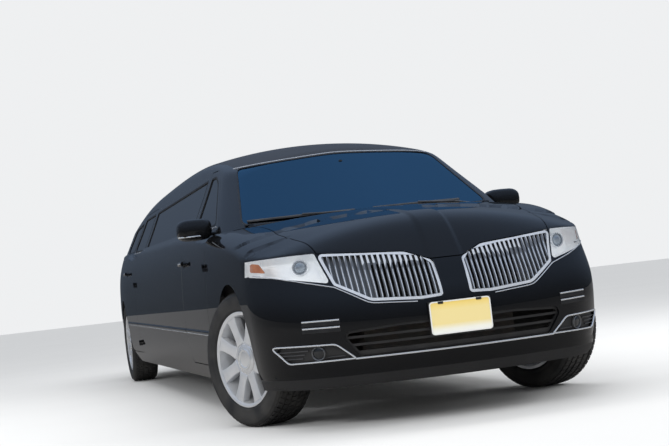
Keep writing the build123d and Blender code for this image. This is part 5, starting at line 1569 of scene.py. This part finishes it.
@dataclass
class Pad:
    """A stuffed pad: a crowned closed form whose sides pull in between its corners.

    Args:
        name: its name.
        size: length, width and thickness in millimetres.
        matrix: its place, from its own middle, with the crown up along +Z.
        channels: places of the sewn channels, as shares of the length.
        cross: places of the channels across them, as shares of the width.
        crown: swell of its middle.
        edge: radius of its edges.
        cell: size of its mesh cells.
    """

    CHANNEL_WIDTH = 9.0
    CHANNEL_DEPTH = 10.0
    PULL = 0.022
    PIPING = 3.4

    name: str
    size: tuple[float, float, float]
    matrix: Matrix
    channels: tuple[float, ...] = ()
    cross: tuple[float, ...] = ()
    crown: float = 16.0
    edge: float = 34.0
    cell: float = 15.0

    def bend(self, p: np.ndarray) -> np.ndarray:
        """Points of a plain block moved to the stuffed form."""
        half = np.array(self.size) / 2
        r = min(self.edge, half[2] * 0.95)
        inner = np.clip(p, -(half - r), half - r)
        away = p - inner
        size = np.maximum(np.linalg.norm(away, axis=1), 1e-6)[:, None]
        q = np.where(size > 1e-5, inner + away / size * np.minimum(r, size * 9.0), p)
        u, v = q[:, 0] / half[0], q[:, 1] / half[1]
        share = np.clip((q[:, 2] + half[2]) / (2 * half[2]), 0.0, 1.0)
        full = np.clip(1 - u**2, 0, 1) * np.clip(1 - v**2, 0, 1)
        lift = self.crown * (full**0.6 - 0.45)
        for places, axis, reach in ((self.channels, 0, half[0]), (self.cross, 1, half[1])):
            for place in places:
                gap = (q[:, axis] - place * reach) / self.CHANNEL_WIDTH
                lift = lift - self.CHANNEL_DEPTH * np.exp(-gap * gap) * full**0.25
        q[:, 2] += lift * share
        q[:, 0] *= 1 - self.PULL * (1 - v**2) * (1 - np.abs(share - 0.5))
        q[:, 1] *= 1 - self.PULL * (1 - u**2) * (1 - np.abs(share - 0.5))
        return q

    def build(self, replaces: Iterable[str]) -> bpy.types.Object:
        blank = Blank()
        bm = blank.bm
        bmesh.ops.create_cube(bm, size=1.0, matrix=Matrix.Diagonal((*[s * MM for s in self.size], 1.0)))
        for axis in range(3):
            count = max(3, round(self.size[axis] / self.cell))
            for k in range(1, count):
                cut_across(bm, axis, (k / count - 0.5) * self.size[axis] * MM)
        points = self.bend(np.array([v.co for v in bm.verts]) / MM)
        for v, q in zip(bm.verts, points):
            v.co = Vector(q) * MM
        a, b, c = [s / 2 for s in self.size]
        r = min(self.edge, c * 0.95)
        run = corner_path([(-a, -b, r), (a, -b, r), (a, b, r), (-a, b, r)], True, 30.0)
        line = self.bend(np.array([(u, v, c - r * 0.28) for u, v in run]))
        blank.sweep([Vector(q) for q in line], oval(self.PIPING, self.PIPING, 6), lambda q: Vector((0, 0, 1)),
                    True)
        blank.place(Matrix.Translation(self.matrix.translation * MM) @ self.matrix.to_3x3().to_4x4())
        obj = blank.done(self.name, Palette.LEATHER, "body", 60, replaces, 1)
        return obj


def stand(middle: Sequence[float], along: Sequence[float], up: Sequence[float]) -> Matrix:
    """Matrix that puts a pad in its place.

    Args:
        middle: its middle, in millimetres.
        along: direction of its length.
        up: direction that its crown faces.

    Returns:
        The matrix, with its shift in millimetres.
    """
    x = Vector(along).normalized()
    z = Vector(up)
    z = (z - x * z.dot(x)).normalized()
    y = z.cross(x)
    return Matrix.Translation(Vector(middle)) @ Matrix((x, y, z)).transposed().to_4x4()


class Inside:
    """Front chairs, side bench, rear bench and bar cabinet."""

    CHAIR_X = front(-1560)
    CHAIR_Y = 390.0
    BENCH_ENDS = (rear(1500), front(-2100))
    BENCH_X = rear(-90)
    SEATS = ["front_seats"]
    LOUNGE = ["lounge_furniture"]

    def build(self) -> None:
        """Make every piece."""
        for side in Side:
            self.chair(side)
        self.side_bench()
        self.rear_bench()
        self.cabinet()

    def chair(self, side: Side) -> None:
        """One front chair: base, cushion, back, bolsters and headrest on its posts."""
        x, y = self.CHAIR_X, self.CHAIR_Y * side.value
        tag = side.tag
        base = Blank()
        base.block((x + 30, y - 200, 341), (x + 440, y + 200, 430), 6.0)
        base.block((x + 6, y - 232, 402), (x + 462, y + 232, 452), 18.0)
        for post in (y - 60, y + 60):
            base.rod((x - 40, post, 1020), (x - 52, post, 1120), 7, None, 16)
        lean = Vector((-292, 0, 520)).normalized()
        shell = base.block((-255, -225, -30), (255, 225, 0), 14.0)
        spot = stand((x - 130, y, 742), lean, (0.872, 0, 0.49))
        turn = Matrix.Translation(spot.translation * MM) @ spot.to_3x3().to_4x4()
        bmesh.ops.transform(base.bm, matrix=turn, verts=[v for v in shell if v.is_valid])
        base.done(f"chair_base_{tag}", Palette.PLASTIC, "body", 35, self.SEATS)
        Pad(f"chair_cushion_{tag}", (470, 480, 118), stand((x + 240, y, 502), (1, 0, 0.06), (0, 0, 1)),
            (-0.35, 0.0, 0.35), (-0.62, 0.62), 14.0).build(self.SEATS)
        Pad(f"chair_back_{tag}", (560, 470, 112), stand((x - 80, y, 776), lean, (0.872, 0, 0.49)),
            (-0.3, 0.05, 0.4), (-0.62, 0.62), 14.0).build(self.SEATS)
        Pad(f"chair_headrest_{tag}", (150, 250, 84), stand((x - 240, y, 1150), (-0.16, 0, 1), (1, 0, 0.16)),
            (), (), 8.0, 36.0).build(self.SEATS)

    def side_bench(self) -> None:
        """Long bench along the right side: a base with four seats and four backs."""
        low, high = self.BENCH_ENDS
        base = Blank()
        base.block((low, -804, 341), (high, -345, 492), 10.0)
        base.done("side_bench_base", Palette.PLASTIC, "body", 35, self.LOUNGE)
        count = 4
        step = (high - low) / count
        for k in range(count):
            x = low + step * (k + 0.5)
            Pad(f"side_bench_seat_{k}", (step - 6, 420, 130), stand((x, -548, 556), (1, 0, 0), (0, 0.06, 1)),
                (-0.5, 0.0, 0.5), (), 14.0, 34.0, 18.0).build(self.LOUNGE)
            Pad(f"side_bench_back_{k}", (step - 6, 440, 84),
                stand((x, -752, 820), (1, 0, 0), (0, 0.98, 0.16)),
                (-0.5, 0.0, 0.5), (), 10.0, 30.0, 18.0).build(self.LOUNGE)

    def rear_bench(self) -> None:
        """Bench across the back: a base, two seats and two backs."""
        x = self.BENCH_X
        base = Blank()
        base.block((x + 30, -600, 576), (x + 470, 600, 640), 8.0)
        base.done("rear_bench_base", Palette.PLASTIC, "body", 35, self.LOUNGE)
        lean = Vector((-278, 0, 480)).normalized()
        for side in Side:
            y = side.value * 311
            Pad(f"rear_bench_seat_{side.tag}", (490, 612, 124),
                stand((x + 250, y, 676), (1, 0, 0.05), (0, 0, 1)),
                (-0.35, 0.0, 0.35), (), 14.0, 34.0, 18.0).build(self.LOUNGE)
            Pad(f"rear_bench_back_{side.tag}", (520, 612, 110),
                stand((x - 76, y, 932), lean, (0.865, 0, 0.5)),
                (-0.3, 0.05, 0.4), (), 14.0, 34.0, 18.0).build(self.LOUNGE)

    def cabinet(self) -> None:
        """Bar cabinet along the left side, with door panels, pulls and a lipped top."""
        low, high = self.BENCH_ENDS
        case = Blank()
        case.block((low, 566, 341), (high, 798, 872), 5.0)
        doors = 6
        step = (high - low) / doors
        for k in range(doors):
            a, b = low + step * k + 14, low + step * (k + 1) - 14
            case.block((a, 561, 372), (b, 570, 846), 3.0, 2)
        case.done("bar_cabinet", Palette.WOOD, "body", 30, self.LOUNGE)
        top = Blank()
        top.block((low, 560, 872), (high, 798, 900), 7.0)
        for k in range(doors):
            x = low + step * (k + 0.5)
            top.rod((x - 40, 561, 800), (x + 40, 561, 800), 5, None, 12)
        top.done("bar_top", Palette.PLASTIC, "body", 30, self.LOUNGE)


class Tail:
    """Sill and seal of the tailgate's glass, bright bar, lamp divisions and blank plate of the back."""

    GLASS = [(-515, 1176, 50), (515, 1176, 50), (494, 1446, 55), (-494, 1446, 55)]
    LAMP_ENDS = (880.0, 990.0)

    def build(self) -> None:
        """Make every piece."""
        body = "tailgate_panel"
        sill = [(-528, 1158, 10), (528, 1158, 10), (522, 1207, 8), (-522, 1207, 8)]
        Patch("tailgate_sill", Palette.PAINT, body, sill, View.TAIL, -1.5, 7.0, 30.0).build()
        Strip("tailgate_seal", Palette.SEAL, body, self.GLASS, View.TAIL, 16.0, 1.2, True, 0.0, Skin.UPPER,
              7.0).build()
        Strip("tail_bar", Palette.CHROME, body, [(-572, 1000, 0), (0, 1004, 3000), (572, 1000, 0)], View.TAIL,
              14.0, 6.0, skin=Skin.LOWER).build()
        for k, y in enumerate((-420, -280, -140, 0, 140, 280, 420)):
            rib = [(y, self.LAMP_ENDS[0] + 6, 0), (y, self.LAMP_ENDS[1] - 6, 0)]
            Strip(f"lamp_rib_{k}", Palette.TRIM, body, rib, View.TAIL, 5.0, 0.5, inset=1.5,
                  skin=Skin.LOWER).build()
        self.plate(body)

    def plate(self, body: str) -> None:
        """Blank plate on two bosses, with a lamp bar over it."""
        spot = Vector(lay([(0, 760)], View.TAIL, -9.0, Skin.LOWER)[0])
        spot.x = float(lay([(0, 680), (0, 760), (0, 840)], View.TAIL, -5.0, Skin.LOWER)[:, 0].min())
        blank = plate_sheet(spot.x, 684, -1.0)
        for u in (-90, 90):
            blank.rod((spot.x + 1, u, 760), (spot.x + 16, u, 760), 9, None, 16)
        blank.done("rear_plate", Palette.REAR_PLATE, body, 30)
        lamp = Blank()
        lamp.prism([Vector((spot.x + 14, u, v)) for u, v in corner_path(
            [(-170, 846, 6), (170, 846, 6), (160, 868, 10), (-160, 868, 10)], True, 400)],
            Vector((-20, 0, 0)), 3.0, 2)
        lamp.done("plate_lamp_bar", Palette.CHROME, body, 30)


def carrier(door: str, side: Side) -> str:
    """Body of a trim: the door on its side, or the car's body where no door is named."""
    return f"{door}_{side.tag}" if door else "body"


class Sides:
    """Window seals, belt lines, mouldings and handles of both sides."""

    PANES = {
        "door_front": [(front(-760), 1138, 25), (front(-1262), 1425, 40), (front(-1430), 1478, 200),
                       (front(-1625), 1486, 25), (front(-1625), 1146, 25)],
        "stretch": [(front(-1780), 1150, 25), (front(-1780), 1487, 25), (rear(1380), 1487, 25),
                    (rear(1380), 1186, 25)],
        "door_rear": [(rear(1215), 1188, 25), (rear(1215), 1487, 25), (rear(455), 1487, 60),
                      (rear(318), 1205, 60)],
        "quarter": [(rear(215), 1210, 60), (rear(330), 1470, 50), (rear(-330), 1440, 90),
                    (rear(-560), 1225, 60)],
    }
    DOORS = {"door_front": "front_door", "door_rear": "rear_door", "stretch": "", "quarter": ""}

    def build(self) -> None:
        """Make every piece."""
        for side in Side:
            view = View.LEFT if side is Side.LEFT else View.RIGHT
            for name, pane in self.PANES.items():
                body = carrier(self.DOORS[name], side)
                Strip(f"seal_{name}_{side.tag}", Palette.SEAL, body, pane, view, 16.0, 1.2, True, 0.0,
                      Skin.UPPER, 7.0).build()
            self.belt(side, view)
            self.moulding(side, view)
            self.handles(side, view)

    def belt(self, side: Side, view: View) -> None:
        """Bright line along the foot of the windows, one piece for each panel."""
        runs = (("front_door", front(-730), front(-1690), 1125, 1134),
                ("", front(-1712), rear(1300), 1152, 1193),
                ("rear_door", rear(1280), rear(318), 1175, 1192), ("", rear(215), rear(-560), 1197, 1212))
        for k, (door, x0, x1, z0, z1) in enumerate(runs):
            Strip(f"belt_{k}_{side.tag}", Palette.CHROME, carrier(door, side), [(x0, z0, 0), (x1, z1, 0)],
                  view, 11.0, 4.0, skin=Skin.UPPER).build()

    def moulding(self, side: Side, view: View) -> None:
        """Body-side moulding with a bright insert, one piece for each panel."""
        runs = (("front_door", front(-708), front(-1688), 500, 512),
                ("", front(-1712), rear(1302), 512, 548), ("rear_door", rear(1278), rear(480), 548, 556))
        for k, (door, x0, x1, z0, z1) in enumerate(runs):
            body = carrier(door, side)
            Strip(f"moulding_{k}_{side.tag}", Palette.PAINT, body, [(x0, z0, 0), (x1, z1, 0)], view, 34.0,
                  9.0, skin=Skin.LOWER).build()
            Strip(f"moulding_insert_{k}_{side.tag}", Palette.CHROME, body,
                  [(x0, z0 - 8, 0), (x1, z1 - 8, 0)], view, 8.0, 10.5, skin=Skin.LOWER).build()

    def handles(self, side: Side, view: View) -> None:
        """Pull handles: a round-ended grip on two feet, with a bright insert and a matt oval of painted shade
        behind it.
        """
        for body, x, z in (("front_door", front(-1580), 945), ("rear_door", rear(590), 1004)):
            spots = [Vector(q) for q in lay([(x - 88, z), (x, z), (x + 88, z)], view, 0.0, Skin.LOWER)]
            out = outwards(spots[1], Skin.LOWER)
            way = (spots[2] - spots[0]).normalized()
            up = way.cross(out).normalized()
            for part, finish, rise, wide, thick, half in (("grip", Palette.PAINT, 24.0, 15.0, 8.0, 88.0),
                                                          ("insert", Palette.CHROME, 32.4, 4.0, 1.2, 70.0)):
                blank = Blank()
                path = [spots[1] + way * half * math.sin(t) + out * (rise + 3.0 * math.cos(t))
                        for t in np.linspace(-math.pi / 2, math.pi / 2, 13)]
                blank.sweep(path, oval(wide, thick, 16), lambda q, o=out: o)
                if part == "grip":
                    for k in (-66.0, 66.0):
                        foot = spots[1] + way * k
                        blank.rod(foot - out * 4, foot + out * 22, 11.0, 9.0, 16)
                blank.done(f"handle_{part}_{body}_{side.tag}", finish, f"{body}_{side.tag}", 50)
            # Matt near-black oval behind each grip: painted shade of the recess under the handle.
            shade_oval = Blank()
            ring = [spots[1] + way * math.cos(a) * 52 + up * math.sin(a) * 24 + out * 0.8
                    for a in np.arange(32) * math.tau / 32]
            shade_oval.prism(ring, -out * 2.0)
            shade_oval.done(f"handle_shade_{body}_{side.tag}", Palette.SEAL, f"{body}_{side.tag}", 30)


@dataclass
class DoorMirror:
    """A door mirror: a rounded housing with a bright strip under it, its glass and its foot.

    RINGS holds x, middle y, middle z, half-width and half-height of each ring of the housing.

    Args:
        side: which side of the car.
    """

    AROUND = 24
    ROUNDING = (0.55, 0.62)
    RINGS = ((front(-812), 976, 1123, 98, 58), (front(-821), 976, 1123, 104, 64),
             (front(-790), 977, 1123, 104, 65), (front(-755), 977, 1123, 103, 63),
             (front(-727), 979, 1121, 96, 56), (front(-711), 981, 1117, 82, 43),
             (front(-703), 984, 1112, 52, 24))

    side: Side

    def build(self) -> None:
        """Make the housing, the strip, the glass and the arm."""
        tag, body = self.side.tag, f"front_door_{self.side.tag}"
        shell = Blank()
        shell.loft([self._ring(shell, row) for row in self.RINGS])
        arm = [(front(-760), 838, 1090), (front(-758), 880, 1092), (front(-756), 930, 1092),
               (front(-756), 960, 1100)]
        shell.sweep([self._flip(q) for q in arm], oval(30, 13, 20), lambda q: Vector((0, 0, 1)))
        shell.done(f"mirror_shell_{tag}", Palette.PAINT, body, 50, [f"mirror_{tag}"])
        strip = Blank()
        path = [(front(-722), 912, 1084), (front(-707), 960, 1082), (front(-706), 1020, 1081),
                (front(-722), 1066, 1082), (front(-760), 1078, 1084)]
        band = [(-3.5, -2), (-3.5, 2), (0, 3.5), (3.5, 2), (3.5, -2)]
        middle = Vector(self._flip((front(-770), 990, 1084)))
        strip.sweep([self._flip(q) for q in path], band,
                    lambda q: Vector((q.x - middle.x, q.y - middle.y, 0.0)))
        strip.done(f"mirror_strip_{tag}", Palette.CHROME, body, 40)
        glass = Blank()
        outline = corner_path([(890, 1072, 24), (1066, 1072, 32), (1066, 1176, 28), (890, 1176, 24)], True,
                              200.0)
        glass.prism([Vector(self._flip((front(-815), y, z))) for y, z in outline], Vector((-3.0, 0, 0)))
        glass.done(f"mirror_glass_{tag}", Palette.MIRROR, body, 30)

    def _flip(self, q: Sequence[float]) -> tuple[float, float, float]:
        """A left-hand point on this mirror's side."""
        return (q[0], q[1] * self.side.value, q[2])

    def _ring(self, blank: Blank, row: tuple[float, float, float, float, float]) -> list[bmesh.types.BMVert]:
        """Add the corners of one rounded ring of the housing."""
        x, y, z, wide, high = row
        ring = []
        for a in np.arange(self.AROUND) * math.tau / self.AROUND:
            c, q = math.cos(a), math.sin(a)
            u = math.copysign(abs(c) ** self.ROUNDING[0], c) * wide
            v = math.copysign(abs(q) ** self.ROUNDING[1], q) * high
            ring.append(blank.bm.verts.new(Vector(self._flip((x, y + u, z + v))) * MM))
        return ring


class Studio:
    """Floor, lamps, world and camera."""

    CAMERA = (10.7163, -2.2140, 0.7192)
    YAW = 2.89638
    PITCH = 0.041764
    ROLL = -0.112129
    FOCAL = 1417.89
    BACKDROP = (0.86, 0.87, 0.88)
    SKY = ((0.0, (0.05, 0.06, 0.075)), (0.75, (0.26, 0.36, 0.54)))
    FLOOR_HALF = 60.0
    FLOOR = ((0.74, 0.74, 0.735), (0.78, 0.78, 0.775))
    MIRRORED_FLOOR = (0.20, 0.19, 0.18)
    LAMPS = (("top", (0.5, 0.0, 6.0), (9.0, 2.2), 240.0), ("right", (5.5, -7.0, 3.6), (5.0, 0.9), 190.0),
             ("left", (3.0, 7.5, 4.2), (7.0, 1.6), 150.0), ("ahead", (13.0, 0.5, 5.2), (5.0, 1.6), 170.0),
             ("key", (14.0, -6.0, 9.0), (1.5, 1.5), 90.0))

    def build(self) -> None:
        """Set up the room."""
        self.camera()
        self.floor()
        self.light()
        bpy.context.scene.view_settings.view_transform = "Standard"

    def camera(self) -> None:
        """Camera at the photograph's place and angle."""
        cy, sy = math.cos(self.YAW), math.sin(self.YAW)
        cp, sp = math.cos(self.PITCH), math.sin(self.PITCH)
        ahead = Vector((cy * cp, sy * cp, sp))
        right = ahead.cross(Vector((0, 0, 1))).normalized()
        up = right.cross(ahead)
        cr, sr = math.cos(self.ROLL), math.sin(self.ROLL)
        turned = right * cr + up * sr
        top = up * cr - right * sr
        data = bpy.data.cameras.new("camera")
        data.sensor_width = SENSOR
        data.lens = self.FOCAL / PHOTO_SIZE[0] * SENSOR
        data.clip_end = 200.0
        cam = placed("camera", data)
        turn = Matrix((turned, top, -ahead)).transposed().to_4x4()
        cam.matrix_world = Matrix.Translation(self.CAMERA) @ turn
        bpy.context.scene.camera = cam

    def floor(self) -> None:
        """Plain pale floor."""
        bm = bmesh.new()
        bmesh.ops.create_grid(bm, x_segments=4, y_segments=4, size=self.FLOOR_HALF)
        mesh = bpy.data.meshes.new("floor")
        bm.to_mesh(mesh)
        bm.free()
        graph = Graph("pale_floor")
        seen = graph.add("ShaderNodeLightPath", {}, {}, "Is Glossy Ray")
        pale = graph.mix(graph.noise(0.7), *self.FLOOR)
        tone = graph.mix(seen, pale, self.MIRRORED_FLOOR)
        mesh.materials.append(graph.finish(graph.surface({"Base Color": tone, "Roughness": 0.85})))
        placed("floor", mesh)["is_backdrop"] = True

    def light(self) -> None:
        """Soft lamps over and beside the car, in a pale world."""
        graph = Graph("studio", True)
        bpy.context.scene.world = graph.holder
        way = graph.add("ShaderNodeTexCoord", {}, {}, "Generated")
        height = graph.add("ShaderNodeSeparateXYZ", {}, {0: way}, 2)
        stops = [(spot, (*colour, 1.0)) for spot, colour in self.SKY]
        sky = graph.add("ShaderNodeValToRGB", {"stops": stops}, {0: height})
        plain = 1.0 - graph.add("ShaderNodeLightPath", {}, {}, "Is Glossy Ray")
        shade = graph.add("ShaderNodeBackground", {}, {"Color": graph.mix(plain, sky, self.BACKDROP)})
        graph.raw("ShaderNodeOutputWorld", {}, {"Surface": shade})
        for name, place, size, power in self.LAMPS:
            data = bpy.data.lights.new(name, "AREA")
            data.shape = "RECTANGLE" if size[0] != size[1] else "ELLIPSE"
            data.size, data.size_y = size
            data.energy = power
            lamp = placed(name, data)
            lamp.visible_glossy = False
            aim = Vector((place[0] * 0.3, 0, 0.7)) - Vector(place)
            lamp.matrix_world = Matrix.Translation(place) @ aim.to_track_quat("-Z", "Y").to_matrix().to_4x4()


def crease(p: np.ndarray) -> np.ndarray:
    """Points with the raised middle of the hood and nose, in millimetres."""
    start, stop = front(-400), front(950)
    half, wider, flank = 52.0, 18.0, 26.0
    foot, fade_height, height = 660.0, 110.0, 9.0
    along = np.clip((p[:, 0] - start) / (stop - start), 0.0, 1.0)
    reach = half + wider * along
    share = np.clip((reach + flank - np.abs(p[:, 1])) / flank, 0.0, 1.0)
    fade = np.clip((p[:, 2] - foot) / fade_height, 0.0, 1.0)
    rise = height * share * share * (3 - 2 * share) * fade * fade * (3 - 2 * fade)
    return p + unit(FORM.slope(Skin.LOWER, p, SOFT_EDGE)) * rise[:, None]


def glass(node: str, body: str, finish: Finish = Palette.SIDE_GLASS) -> SmoothPanel:
    """A pane of the upper body, set a little into it."""
    return SmoothPanel(node, body, finish, finish, 6.0, skins=(Skin.UPPER,), reach=4.0)


def panels() -> list[SmoothPanel]:
    """The body panels whose outer faces are laid on the smooth surface."""
    paint, under = Palette.PAINT, Palette.UNDER
    out = [SmoothPanel("hood", "hood_panel", paint, under, skins=(Skin.LOWER,), shape=crease, fine=100.0),
           SmoothPanel("front_bumper", "body", Palette.LIP, Palette.PLASTIC, skins=(Skin.LOWER,), edge=32.0,
                       shape=crease, fine=100.0),
           SmoothPanel("cowl", "body", Palette.PLASTIC, Palette.PLASTIC, skins=(Skin.LOWER,)),
           SmoothPanel("roof", "body", Palette.ROOF, Palette.LINING, skins=(Skin.UPPER,)),
           glass("windscreen", "body", Palette.SCREEN),
           glass("side_glass", "body"),
           SmoothPanel("tailgate", "tailgate_panel", paint, Palette.LINING),
           glass("tailgate_glass", "tailgate_panel"),
           SmoothPanel("tail_lamps", "tailgate_panel", Palette.RED, Palette.RED, 2.0, skins=(Skin.LOWER,),
                       reach=6.0),
           SmoothPanel("rear_bumper", "body", paint, Palette.PLASTIC, skins=(Skin.LOWER,)),
           SmoothPanel("sills", "body", paint, under, skins=(Skin.LOWER,)),
           # The headlamps' inner faces glow faintly: painted light.
           SmoothPanel("headlamps", "body", Palette.LENS, Palette.REFLECTOR, skins=(Skin.LOWER,), edge=30.0,
                       rim=0.0),
           # The grille bars' fronts are bright satin; their sides get the darker copy, which is painted
           # shade.
           SmoothPanel("upper_grilles", "body", Palette.SATIN, Palette.FLANK, skins=(Skin.LOWER,), edge=25.0,
                       reach=4.0, rim=0.0)]
    for side in Side:
        tag = side.tag
        out += [SmoothPanel(f"fender_{tag}", "body", paint, under, skins=(Skin.LOWER,)),
                SmoothPanel(f"stretch_side_{tag}", "body", paint, Palette.LINING),
                SmoothPanel(f"quarter_panel_{tag}", "body", paint, under),
                SmoothPanel(f"door_front_{tag}", f"front_door_{tag}", paint, Palette.LEATHER),
                SmoothPanel(f"door_rear_{tag}", f"rear_door_{tag}", paint, Palette.LEATHER),
                glass(f"door_glass_front_{tag}", f"front_door_{tag}"),
                glass(f"door_glass_rear_{tag}", f"rear_door_{tag}")]
    return out


PLAIN = {
    "ladder_frame": Palette.UNDER, "floor_pan": Palette.CARPET, "engine": Palette.IRON,
    "driveshaft": Palette.STEEL, "exhaust": Palette.STEEL, "fuel_tank": Palette.PLASTIC,
    "front_suspension": Palette.UNDER, "rear_axle": Palette.IRON, "knuckle_left": Palette.DISC,
    "knuckle_right": Palette.DISC, "dashboard": Palette.PLASTIC, "partition": Palette.PLASTIC,
    "plate_bracket": Palette.PLASTIC, "lower_grille": Palette.PLASTIC,
}


def main(car: Car) -> None:
    """Build the looks of the car and the room."""
    logging.basicConfig(level=logging.INFO, format="%(name)s %(message)s")
    random.seed(SEED)
    Studio().build()
    for node, finish in PLAIN.items():
        car.dress(node, finish)
    for panel in panels():
        panel.build(car)
    for end in ("front", "rear"):
        for side in Side:
            RoadWheel(end, side).build(car)
    for side in Side:
        DoorMirror(side).build()
    for part in (FrontFace(), Screen(), Tail(), Inside(), Sides()):
        part.build()


if __name__ == "__main__":
    main(Car())
